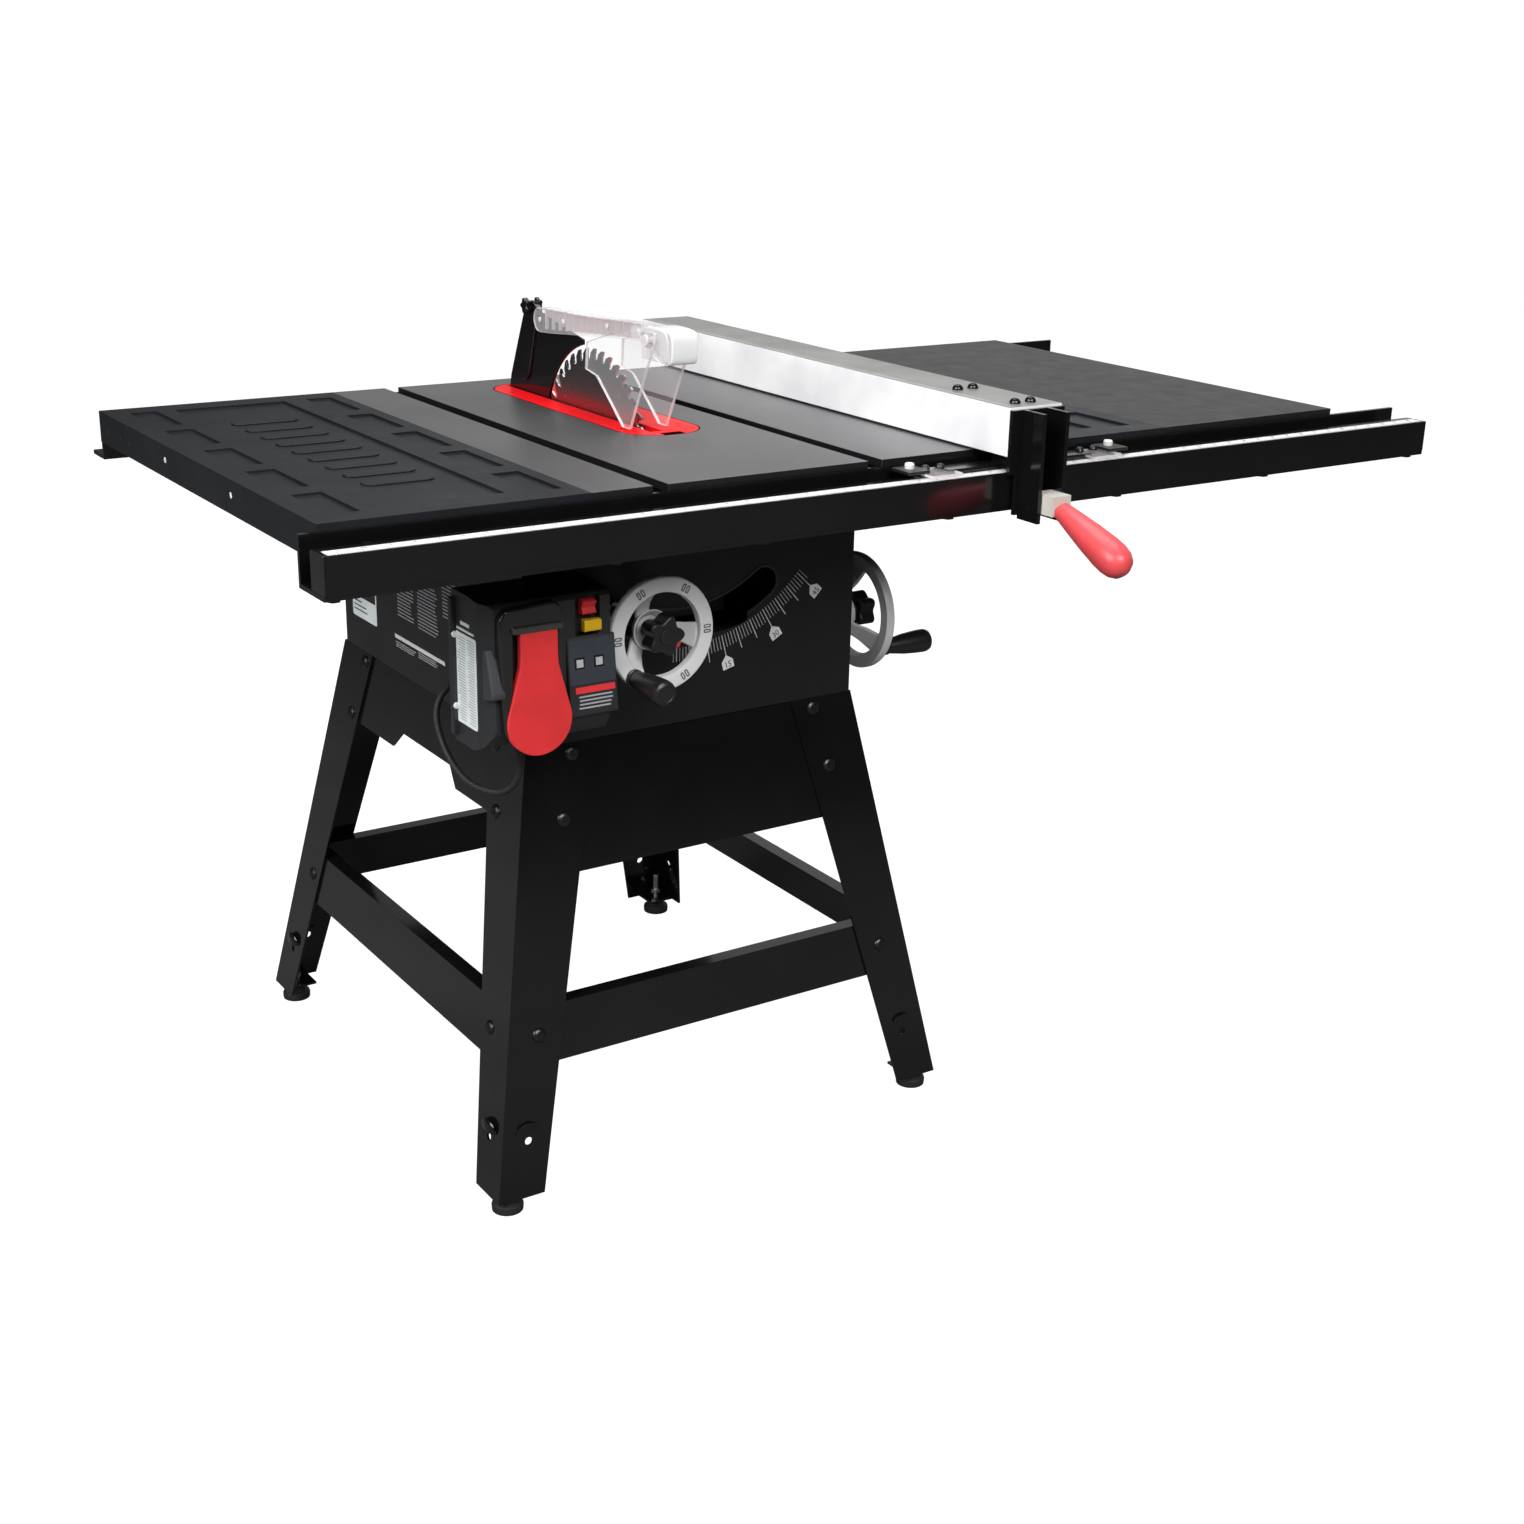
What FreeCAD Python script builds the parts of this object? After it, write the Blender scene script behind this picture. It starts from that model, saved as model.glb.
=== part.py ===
import FreeCAD, Part
import math
import os
import Sketcher

# Contractor table saw on a splayed stand.
# Pieces are drawn in saw coordinates: x from the left edge of the cast table,
# y from its front edge, z from the floor. Each finished piece is then shifted
# so that the middle of the whole saw's outline stands over the origin.

DIMENSIONS = {
    # tables
    "table_height": 864,
    "table_depth": 686,
    "cast_width": 508,
    "wing_width": 300,
    "extension_width": 297,
    "extension_thick": 22,
    "side_height": 38,
    "plate_thick": 10,
    "skirt_thick": 8,
    "wing_skin": 6,
    "wing_side": 2.5,
    "table_gap": 0.2,
    "slot_width": 19,
    "slot_depth": 9.5,
    "slot_left": 82.5,
    "slot_right": 362.5,
    # middle of the outline, in saw coordinates
    "middle_across": 450.5,
    "middle_deep": 343.5,
    # rails
    "rail_left": -320,
    "rear_rail_left": -298,
    "rail_right": 1221,
    "rail_thick": 5,
    "rail_low": 804,
    "rail_high": 857,
    "front_rail_reach": 62,
    "rear_rail_reach": 43,
    "tube_front": -63,
    "tube_deep": 32,
    "tube_tall": 39,
    "tube_wall": 2.5,
    # stand
    "stand_across": 222,
    "stand_deep": 408,
    "stand_top": 539,
    "leg_bottom": 22,
    "top_half_across": 228,
    "top_half_deep": 259,
    "foot_half_across": 320,
    "foot_half_deep": 352,
    "leg_width_low": 60,
    "leg_width_high": 90,
    "leg_sheet": 3,
    "brace_sheet": 2.5,
    "apron_low": 387,
    "side_apron_low": 444,
    "notch_top": 467,
    "notch_deep": 399,
    "notch_half_low": 92,
    "notch_half_high": 68,
    "stretcher_low": 172,
    "stretcher_high": 240,
    "foot_inset": 22,
    "foot_radius": 19,
    "stud_radius": 5,
    # cabinet
    "cabinet_left": -6,
    "cabinet_right": 447,
    "cabinet_front": 148,
    "cabinet_rear": 660,
    "cabinet_sheet": 2,
    "rear_panel_top": 645,
    "port_radius": 50.8,
    "port_across": 92,
    "port_height": 593,
    "port_reach": 45,
    # blade and its tilting gear
    "blade_across": 231,
    "blade_radius": 127,
    "blade_plate": 2.6,
    "arbor_deep": 404,
    "arbor_height": 816,
    "arbor_radius": 10,
    "pivot_deep": 284,
    "pivot_height": 775,
    "pivot_radius": 9,
    "lift_across": 123,
    "lift_height": 679,
    "lift_radius": 7,
    "worm_radius": 9,
    "window_across": 201.6,
    "window_height": 851.8,
    "window_radius": 192,
    "window_half": 18,
    "tilt_deep": 246,
    "tilt_height": 610,
    "tilt_radius": 8,
    "running_gap": 0.05,
    "trunnion_radius": 93,
    "trunnion_half": 7,
    "pulley_across": 150,
    "belt_width": 16,
    "arbor_pulley": 30,
    "motor_pulley": 34,
    "motor_deep": 845,
    "motor_height": 690,
    "motor_radius": 78,
    "motor_length": 200,
    # insert
    "insert_left": 193,
    "insert_right": 298,
    "insert_front": 236,
    "insert_rear": 645,
    "insert_corner": 45,
    "insert_thick": 6,
    # guard
    "shield_pivot_deep": 236,
    "shield_pivot_height": 976,
    # handwheels
    "wheel_radius": 67,
    "rim_radius": 8,
    "crank_radius": 58,
    "crank_angle": 230,
    "wheel_front": 62,
    "side_wheel_across": 516,
    "side_wheel_radius": 76,
    "side_crank_radius": 66,
    "side_crank_angle": 215,
    # fence
    "fence_left": 500,
    "fence_right": 577,
    "fence_low": 866.5,
    "fence_high": 922,
    "fence_front": -65,
    "fence_rear": 752,
    "lever_deep": -88,
    "lever_height": 814,
    "lever_offset": 3,
    # switch
    "box_left": -97,
    "box_right": 55,
    "box_front": 60,
    "box_rear": 138,
    "box_low": 572,
    "box_high": 744,
    "paddle_across": -39,
    "cable_radius": 3.9,
}

document = FreeCAD.newDocument("TableSaw")
sheet = document.addObject("Spreadsheet::Sheet", "Dims")
for row, (alias, amount) in enumerate(DIMENSIONS.items(), start=1):
    sheet.set(f"A{row}", alias)
    sheet.set(f"B{row}", str(amount))
    sheet.setAlias(f"B{row}", alias)
document.recompute()


class Size:
    """A length or angle: its value now, and the sheet expression behind it."""

    def __init__(self, value, text):
        self.value = value
        self.text = text

    def __add__(self, other):
        other = size(other)
        return Size(self.value + other.value, f"({self.text} + {other.text})")

    def __sub__(self, other):
        other = size(other)
        return Size(self.value - other.value, f"({self.text} - {other.text})")

    def __mul__(self, other):
        other = size(other)
        return Size(self.value * other.value, f"({self.text} * {other.text})")

    def __truediv__(self, other):
        other = size(other)
        return Size(self.value / other.value, f"({self.text} / {other.text})")

    def __rsub__(self, other):
        return size(other) - self

    def __radd__(self, other):
        return size(other) + self

    def __rmul__(self, other):
        return size(other) * self

    def __neg__(self):
        return size(0) - self


def size(amount):
    """Turn a plain number into a Size; leave a Size as it is."""
    if isinstance(amount, Size):
        return amount
    return Size(float(amount), f"({amount:.6f})")


def dim(alias):
    return Size(float(getattr(sheet, alias)), f"Dims.{alias}")


def sine(degrees):
    degrees = size(degrees)
    return Size(math.sin(math.radians(degrees.value)), f"sin({degrees.text} * 1deg)")


def cosine(degrees):
    degrees = size(degrees)
    return Size(math.cos(math.radians(degrees.value)), f"cos({degrees.text} * 1deg)")


# ---------------------------------------------------------------- drawing tools

UPRIGHT = FreeCAD.Rotation()
ALONG = {
    "x": FreeCAD.Rotation(FreeCAD.Vector(0, 1, 0), 90),
    "y": FreeCAD.Rotation(FreeCAD.Vector(1, 0, 0), -90),
    "z": UPRIGHT,
}
SKETCH_PLANES = {"x": ("YZ_Plane", False), "y": ("XZ_Plane", True), "z": ("XY_Plane", False)}
AXIS_ORDER = {"x": (0, 1, 2), "y": (1, 0, 2), "z": (2, 0, 1)}


def make(kind):
    return document.addObject(kind, "Piece")


def bind(thing, name, amount):
    thing.setExpression(name, size(amount).text)


def place(thing, x, y, z):
    for axis, amount in zip("xyz", (x, y, z)):
        bind(thing, "Placement.Base." + axis, amount)


def on_axis(axis, start, centre):
    """Order a start along an axis and a centre across it as x, y, z."""
    spot = [0, 0, 0]
    along, first, second = AXIS_ORDER[axis]
    spot[along] = start
    spot[first] = centre[0]
    spot[second] = centre[1]
    return spot


def box(x, y, z):
    """A block between the low and high ends of three ranges."""
    thing = make("Part::Box")
    for side, (low, high) in zip(("Length", "Width", "Height"), (x, y, z)):
        bind(thing, side, size(high) - low)
    place(thing, x[0], y[0], z[0])
    return thing


def rod(axis, centre, span, radius, turn=0, sweep=360):
    """A cylinder, or a wedge of one, along an axis between two ends."""
    thing = make("Part::Cylinder")
    bind(thing, "Radius", radius)
    bind(thing, "Height", size(span[1]) - span[0])
    bind(thing, "Angle", sweep)
    spin = FreeCAD.Rotation(FreeCAD.Vector(0, 0, 1), turn)
    thing.Placement.Rotation = ALONG[axis].multiply(spin)
    place(thing, *on_axis(axis, span[0], centre))
    return thing


def taper(axis, centre, span, start_radius, end_radius):
    """A cone frustum along an axis."""
    thing = make("Part::Cone")
    bind(thing, "Radius1", start_radius)
    bind(thing, "Radius2", end_radius)
    bind(thing, "Height", size(span[1]) - span[0])
    thing.Placement.Rotation = ALONG[axis]
    place(thing, *on_axis(axis, span[0], centre))
    return thing


def rim(axis, centre, at, radius, thickness):
    """A torus around an axis."""
    thing = make("Part::Torus")
    bind(thing, "Radius1", radius)
    bind(thing, "Radius2", thickness)
    thing.Placement.Rotation = ALONG[axis]
    place(thing, *on_axis(axis, at, centre))
    return thing


def panel(low, high):
    """A block whose x and y ranges change evenly between two heights."""
    thing = make("Part::Wedge")
    low_x, low_y, low_z = low
    high_x, high_y, high_z = high
    bind(thing, "Xmin", low_x[0])
    bind(thing, "Xmax", low_x[1])
    bind(thing, "Zmin", -size(low_y[1]))
    bind(thing, "Zmax", -size(low_y[0]))
    bind(thing, "X2min", high_x[0])
    bind(thing, "X2max", high_x[1])
    bind(thing, "Z2min", -size(high_y[1]))
    bind(thing, "Z2max", -size(high_y[0]))
    bind(thing, "Ymin", low_z)
    bind(thing, "Ymax", high_z)
    thing.Placement.Rotation = FreeCAD.Rotation(FreeCAD.Vector(1, 0, 0), 90)
    return thing


def plate(axis, outline, span):
    """A flat piece with a straight-sided outline, padded along an axis."""
    body = make("PartDesign::Body")
    role, backwards = SKETCH_PLANES[axis]
    plane = next(item for item in body.Origin.OriginFeatures if item.Role == role)
    sketch = body.newObject("Sketcher::SketchObject", "Outline")
    sketch.AttachmentSupport = [(plane, "")]
    sketch.MapMode = "FlatFace"
    corners = [(size(across), size(up)) for across, up in outline]
    ends = [FreeCAD.Vector(across.value, up.value, 0) for across, up in corners]
    for start, end in zip(ends, ends[1:] + ends[:1]):
        sketch.addGeometry(Part.LineSegment(start, end), False)
    for index in range(len(ends)):
        follower = (index + 1) % len(ends)
        sketch.addConstraint(Sketcher.Constraint("Coincident", index, 2, follower, 1))
    for index, corner in enumerate(corners):
        for kind, distance in zip(("DistanceX", "DistanceY"), corner):
            rule = Sketcher.Constraint(kind, -1, 1, index, 1, distance.value)
            number = sketch.addConstraint(rule)
            sketch.setExpression(f"Constraints[{number}]", distance.text)
    pad = body.newObject("PartDesign::Pad", "Pad")
    pad.Profile = sketch
    pad.Reversed = backwards
    bind(pad, "Length", size(span[1]) - span[0])
    place(body, *on_axis(axis, span[0], (0, 0)))
    return body


def group(*things):
    thing = make("Part::Compound")
    thing.Links = list(things)
    return thing


def fuse(*things):
    thing = make("Part::MultiFuse")
    thing.Shapes = list(things)
    thing.Refine = True
    return thing


def cut(base, *tools):
    thing = make("Part::Cut")
    thing.Base = base
    thing.Tool = tools[0] if len(tools) == 1 else group(*tools)
    thing.Refine = True
    return thing


def mirrored(thing, across):
    """The mirror image of a piece in the plane x = across."""
    image = make("Part::Mirroring")
    image.Source = thing
    image.Normal = FreeCAD.Vector(1, 0, 0)
    bind(image, "Base.x", across)
    return image


def ring(axis, centre, span, inner, outer, turn=0, sweep=360):
    """A tube, or an arc of one, along an axis."""
    solid = rod(axis, centre, span, outer, turn, sweep)
    return cut(solid, rod(axis, centre, (size(span[0]) - 1, size(span[1]) + 1), inner))


def rounded_block(x, y, z, corner):
    """A block with round upright corners."""
    blocks = [
        box((x[0] + corner, x[1] - corner), y, z),
        box(x, (y[0] + corner, y[1] - corner), z),
    ]
    for across in (x[0] + corner, x[1] - corner):
        for deep in (y[0] + corner, y[1] - corner):
            blocks.append(rod("z", (across, deep), z, corner))
    return fuse(*blocks)


def copies(template, spots):
    """One object holding a copy of a template at each placement."""
    document.recompute()
    shapes = []
    for spot in spots:
        shape = template.Shape.copy()
        shape.Placement = spot.multiply(shape.Placement)
        shapes.append(shape)
    thing = make("Part::Feature")
    thing.Shape = Part.makeCompound(shapes)
    return thing


NODES = []


def node(label, *things):
    """Name a finished piece and shift it so that the saw's middle is the origin."""
    thing = group(*things)
    thing.Label = label
    place(thing, -dim("middle_across"), -dim("middle_deep"), 0)
    NODES.append(thing)
    return thing


# ---------------------------------------------------------------- shared places

TABLE_TOP = dim("table_height")
SKIRT_LOW = TABLE_TOP - dim("side_height")
STAND_TOP = dim("stand_top")
BLADE_X = dim("blade_across")
TUBE_REAR = dim("tube_front") + dim("tube_deep")
TUBE_LOW = dim("rail_low") + dim("rail_thick")
TUBE_TOP = TUBE_LOW + dim("tube_tall")
CORNERS = (("front_left", -1, -1), ("front_right", 1, -1), ("rear_left", -1, 1), ("rear_right", 1, 1))


def spread(side, half_low, half_high, middle, height):
    """Where a leg's outer corner line stands at a height, on one side of the middle."""
    share = (STAND_TOP - height) / (STAND_TOP - dim("leg_bottom"))
    half = dim(half_high) + (dim(half_low) - dim(half_high)) * share
    return dim(middle) + half * side


def leg_x(side, height):
    return spread(side, "foot_half_across", "top_half_across", "stand_across", height)


def leg_y(side, height):
    return spread(side, "foot_half_deep", "top_half_deep", "stand_deep", height)


def inward(edge, side, start, end):
    """A range that runs inwards from a leg's corner line, low end first."""
    first = edge - size(start) * side
    second = edge - size(end) * side
    return (first, second) if side < 0 else (second, first)


# ---------------------------------------------------------------- fasteners

LEG_RISE = DIMENSIONS["stand_top"] - DIMENSIONS["leg_bottom"]
SLOPE_X = math.degrees(math.atan2(DIMENSIONS["foot_half_across"] - DIMENSIONS["top_half_across"], LEG_RISE))
SLOPE_Y = math.degrees(math.atan2(DIMENSIONS["foot_half_deep"] - DIMENSIONS["top_half_deep"], LEG_RISE))
STAND_BOLTS = ((526, 61, 72), (452, 56, 63), (209, 40, 48))
SIDE_BOLTS_X = (-250, -60, 60, 448, 568, 758, 870, 1050)
TUBE_BOLTS_X = (-304, 2, 185, 434, 690, 939, 1209)
SIDE_BOLT_HEIGHT = 835
TUBE_BOLT_DEEP = -45


def stand_bolt_spots():
    """Placements on the outer faces of the legs, z pointing outwards."""
    spots = []
    for _, side_x, side_y in CORNERS:
        for height, inset_x, inset_y in STAND_BOLTS:
            corner_x = leg_x(side_x, height).value
            corner_y = leg_y(side_y, height).value
            face_y = FreeCAD.Vector(corner_x - side_x * inset_x, corner_y, height)
            face_x = FreeCAD.Vector(corner_x, corner_y - side_y * inset_y, height)
            out_y = FreeCAD.Rotation(FreeCAD.Vector(1, 0, 0), -side_y * (90 - SLOPE_Y))
            out_x = FreeCAD.Rotation(FreeCAD.Vector(0, 1, 0), side_x * (90 - SLOPE_X))
            spots.append(FreeCAD.Placement(face_y, out_y))
            spots.append(FreeCAD.Placement(face_x, out_x))
    return spots


def side_bolt_spots():
    """Placements on the outer faces of both rails' upright flanges."""
    spots = []
    front = -DIMENSIONS["rail_thick"]
    rear = DIMENSIONS["table_depth"] + DIMENSIONS["rail_thick"]
    for across in SIDE_BOLTS_X:
        for deep, turn in ((front, 90), (rear, -90)):
            spin = FreeCAD.Rotation(FreeCAD.Vector(1, 0, 0), turn)
            spots.append(FreeCAD.Placement(FreeCAD.Vector(across, deep, SIDE_BOLT_HEIGHT), spin))
    return spots


def tube_bolt_spots():
    """Placements under the front rail, z pointing down."""
    flip = FreeCAD.Rotation(FreeCAD.Vector(1, 0, 0), 180)
    low = DIMENSIONS["rail_low"]
    return [FreeCAD.Placement(FreeCAD.Vector(x, TUBE_BOLT_DEEP, low), flip) for x in TUBE_BOLTS_X]


def hex_head(low, high, radius):
    head = make("Part::Prism")
    head.Polygon = 6
    bind(head, "Circumradius", radius)
    bind(head, "Height", high - low)
    place(head, 0, 0, low)
    return head


def bolt_templates():
    """A carriage bolt with its nut, a hex bolt, and the holes they need."""
    dome = fuse(
        taper("z", (0, 0), (0, 2), 9, 8),
        taper("z", (0, 0), (2, 4), 8, 4.5),
        rod("z", (0, 0), (-14, 0.5), 3),
        hex_head(-12, -6, 6.5),
    )
    hexed = fuse(hex_head(0, 5, 7.5), rod("z", (0, 0), (-14, 0.5), 4))
    return dome, hexed, rod("z", (0, 0), (-30, 1), 3.2), rod("z", (0, 0), (-20, 1), 4.2)


DOME_BOLT, HEX_BOLT, SMALL_HOLE, LARGE_HOLE = bolt_templates()
STAND_HOLES = copies(SMALL_HOLE, stand_bolt_spots())
SIDE_HOLES = copies(LARGE_HOLE, side_bolt_spots())
TUBE_HOLES = copies(LARGE_HOLE, tube_bolt_spots())


def frame_bolts():
    node(
        "frame_bolts",
        copies(DOME_BOLT, stand_bolt_spots()),
        copies(HEX_BOLT, side_bolt_spots() + tube_bolt_spots()),
    )


# ---------------------------------------------------------------- stand


def leg(side_x, side_y):
    """A splayed angle with a shelf near its foot."""
    low = dim("leg_bottom")
    sheet_thick = dim("leg_sheet")
    flanges = []
    for width_x, width_y in (
        ((dim("leg_width_low"), dim("leg_width_high")), (sheet_thick, sheet_thick)),
        ((sheet_thick, sheet_thick), (dim("leg_width_low"), dim("leg_width_high"))),
    ):
        bottom = (
            inward(leg_x(side_x, low), side_x, 0, width_x[0]),
            inward(leg_y(side_y, low), side_y, 0, width_y[0]),
            low,
        )
        top = (
            inward(leg_x(side_x, STAND_TOP), side_x, 0, width_x[1]),
            inward(leg_y(side_y, STAND_TOP), side_y, 0, width_y[1]),
            STAND_TOP,
        )
        flanges.append(panel(bottom, top))
    shelf = box(
        inward(leg_x(side_x, low), side_x, 2, 44),
        inward(leg_y(side_y, low), side_y, 2, 44),
        (low + 2, low + 5),
    )
    centre = foot_centre(side_x, side_y)
    bore = rod("z", centre, (low, low + 8), dim("stud_radius") + dim("running_gap"))
    return cut(fuse(*flanges, shelf), bore, STAND_HOLES)


def foot_centre(side_x, side_y):
    low = dim("leg_bottom")
    inset = dim("foot_inset")
    return (leg_x(side_x, low) - inset * side_x, leg_y(side_y, low) - inset * side_y)


def foot(label, side_x, side_y):
    """A levelling foot: pad, collar and stud, screwed up to the leg's shelf."""
    centre = foot_centre(side_x, side_y)
    node(
        "foot_" + label,
        fuse(
            rod("z", centre, (0, 10), dim("foot_radius")),
            taper("z", centre, (10, 16), dim("foot_radius"), 12),
            rod("z", centre, (15, dim("leg_bottom") + 2), 10),
            rod("z", centre, (20, 62), dim("stud_radius")),
        ),
    )


def brace(side, along_x, low, high, lip):
    """A folded sheet between two legs: a leaning web with a lip at its top."""
    inner = dim("leg_sheet")
    sheet_thick = dim("brace_sheet")
    end_gap = 3.5 if along_x else 7
    ends = []
    for height in (low, high):
        if along_x:
            x = (leg_x(-1, height) + end_gap, leg_x(1, height) - end_gap)
            y = inward(leg_y(side, height), side, inner, inner + sheet_thick)
        else:
            x = inward(leg_x(side, height), side, inner, inner + sheet_thick)
            y = (leg_y(-1, height) + end_gap, leg_y(1, height) - end_gap)
        ends.append((x, y, height))
    web = panel(*ends)
    lip_gap = 6 if along_x else 30
    lip_z = (size(high) - sheet_thick, high)
    if along_x:
        lip_x = (leg_x(-1, high) + lip_gap, leg_x(1, high) - lip_gap)
        lip_y = inward(leg_y(side, high), side, inner + 1, inner + lip)
    else:
        lip_x = inward(leg_x(side, high), side, inner + 1, inner + lip)
        lip_y = (leg_y(-1, high) + lip_gap, leg_y(1, high) - lip_gap)
    return fuse(web, box(lip_x, lip_y, lip_z))


def stand_braces():
    middle = dim("notch_deep")
    low = dim("side_apron_low") - 1
    outline = (
        (middle - dim("notch_half_low"), low),
        (middle - dim("notch_half_high"), dim("notch_top")),
        (middle + dim("notch_half_high"), dim("notch_top")),
        (middle + dim("notch_half_low"), low),
    )
    notch = plate("x", outline, (dim("rail_left"), dim("rail_right")))
    aprons = [brace(side, True, dim("apron_low"), STAND_TOP, 22) for side in (-1, 1)]
    for side in (-1, 1):
        aprons.append(cut(brace(side, False, dim("side_apron_low"), STAND_TOP, 22), notch))
    node("stand_aprons", cut(group(*aprons), STAND_HOLES))
    stretchers = []
    for side in (-1, 1):
        for along_x in (True, False):
            low = dim("stretcher_low")
            stretchers.append(brace(side, along_x, low, dim("stretcher_high"), 20))
    node("stand_stretchers", cut(group(*stretchers), STAND_HOLES))


# ---------------------------------------------------------------- cabinet


def lift_slot(span):
    """The wide curved window, and the narrow path in it that the lifting shaft takes as the saw tilts."""
    reach_x = (BLADE_X - dim("lift_across")).value
    reach_z = (TABLE_TOP - dim("lift_height")).value
    start = math.degrees(math.atan2(reach_x, reach_z))
    pieces = []
    reach = math.hypot(reach_x, reach_z)
    path = (BLADE_X, TABLE_TOP, reach, dim("lift_radius").value + 0.6, start, 45 - start)
    window = (
        dim("window_across").value,
        dim("window_height").value,
        dim("window_radius").value,
        dim("window_half").value,
        27,
        36.5,
    )
    for across, height, radius, half, left_end, right_end in (window, path):
        centre = (across, height)
        sweep = left_end + right_end
        pieces.append(ring("y", centre, span, radius - half, radius + half, 90 - right_end, sweep))
        for angle in (-left_end, right_end):
            end = (across + radius * sine(angle), height - radius * cosine(angle))
            pieces.append(rod("y", end, span, half))
    return group(*pieces)


def cabinet():
    left = dim("cabinet_left")
    right = dim("cabinet_right")
    front = dim("cabinet_front")
    rear = dim("cabinet_rear")
    skin = dim("cabinet_sheet")
    height = (STAND_TOP, SKIRT_LOW)
    face = box((left, right), (front, front + skin), height)
    node("cabinet_front", cut(face, lift_slot((front - 1, front + skin + 1))))
    node("cabinet_left", box((left, left + skin), (front + skin, rear), height))
    tilt_bore = rod(
        "x",
        (dim("tilt_deep"), dim("tilt_height")),
        (right - skin - 1, right + 1),
        dim("tilt_radius") + dim("running_gap"),
    )
    side = box((right - skin, right), (front + skin, rear), height)
    node("cabinet_right", cut(side, tilt_bore))
    inner = (left + skin, right - skin)
    port_centre = (dim("port_across"), dim("port_height"))
    port = rod("y", port_centre, (rear - skin, rear + dim("port_reach")), dim("port_radius"))
    port_hole = rod(
        "y", port_centre, (rear - skin - 1, rear + dim("port_reach") + 1), dim("port_radius") - 2.5
    )
    bearing = box((270, 282), (dim("tilt_deep") - 14, dim("tilt_deep") + 14), (STAND_TOP + 1, 619))
    bearing_bore = rod(
        "x",
        (dim("tilt_deep"), dim("tilt_height")),
        (269, 283),
        dim("tilt_radius") + dim("running_gap"),
    )
    folded = fuse(
        box(inner, (front + skin, rear), (STAND_TOP, STAND_TOP + skin)),
        box(inner, (rear - skin, rear), (STAND_TOP, dim("rear_panel_top"))),
        port,
        bearing,
    )
    node("cabinet_rear", cut(folded, port_hole, bearing_bore))


# ---------------------------------------------------------------- tables


def mitre_slot(centre):
    half = dim("slot_width") / 2
    return box((centre - half, centre + half), (-1, dim("table_depth") + 1),
               (TABLE_TOP - dim("slot_depth"), TABLE_TOP + 1))


def insert_block(inset, z):
    return rounded_block(
        (dim("insert_left") + inset, dim("insert_right") - inset),
        (dim("insert_front") + inset, dim("insert_rear") - inset),
        z,
        dim("insert_corner") - inset,
    )


def table_top():
    width = dim("cast_width")
    depth = dim("table_depth")
    skirt = dim("skirt_thick")
    under = TABLE_TOP - dim("plate_thick")
    shell = cut(
        box((0, width), (0, depth), (SKIRT_LOW, TABLE_TOP)),
        box((skirt, width - skirt), (skirt, depth - skirt), (SKIRT_LOW - 1, under)),
    )
    ribs = []
    for centre in (dim("slot_left"), dim("slot_right")):
        ribs.append(box((centre - 20, centre + 20), (4, depth - 4), (under - 10, under + 1)))
    for deep in (dim("cabinet_front") - 2, dim("cabinet_rear") - 12):
        ribs.append(box((4, width - 4), (deep, deep + 12), (SKIRT_LOW, under + 1)))
    recess = insert_block(0, (TABLE_TOP - dim("insert_thick"), TABLE_TOP + 1))
    throat = insert_block(6, (under - 1, TABLE_TOP))
    slots = [mitre_slot(dim("slot_left")), mitre_slot(dim("slot_right"))]
    node("table_top", cut(fuse(shell, *ribs), recess, throat, *slots, SIDE_HOLES))


POCKET_PITCH = 130
POCKET_FIRST = 84


def wing():
    """The stamped left wing: a shell open below, with recesses in its top."""
    left = -dim("wing_width")
    right = -dim("table_gap")
    depth = dim("table_depth")
    side = dim("wing_side")
    shell = cut(
        box((left, right), (0, depth), (SKIRT_LOW, TABLE_TOP)),
        box((left + side, right - side), (side, depth - side), (SKIRT_LOW - 1, TABLE_TOP - dim("wing_skin"))),
    )
    floor = TABLE_TOP - dim("wing_skin") / 2
    recesses = [box((left + 82, left + 222), (42, 652), (floor, TABLE_TOP + 1))]
    for column in (left + 27, right - 49):
        for count in range(5):
            middle = POCKET_FIRST + POCKET_PITCH * count
            recesses.append(box((column, column + 33), (middle - 50, middle + 50), (floor, TABLE_TOP + 1)))
    return cut(shell, *recesses, SIDE_HOLES)


def tables():
    table_top()
    left_wing = wing()
    node("left_wing", left_wing)
    node("right_wing", mirrored(left_wing, dim("cast_width") / 2))
    left = dim("cast_width") + dim("wing_width") + dim("table_gap")
    right = dim("cast_width") + dim("wing_width") + dim("extension_width")
    board_low = TABLE_TOP - dim("extension_thick")
    depth = dim("table_depth")
    board = fuse(
        box((left, right), (0, depth), (board_low, TABLE_TOP)),
        box((left, right), (0, 20), (SKIRT_LOW - 6, board_low)),
        box((left, right), (depth - 20, depth), (SKIRT_LOW - 6, board_low)),
    )
    node("extension_table", cut(board, SIDE_HOLES))


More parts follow.
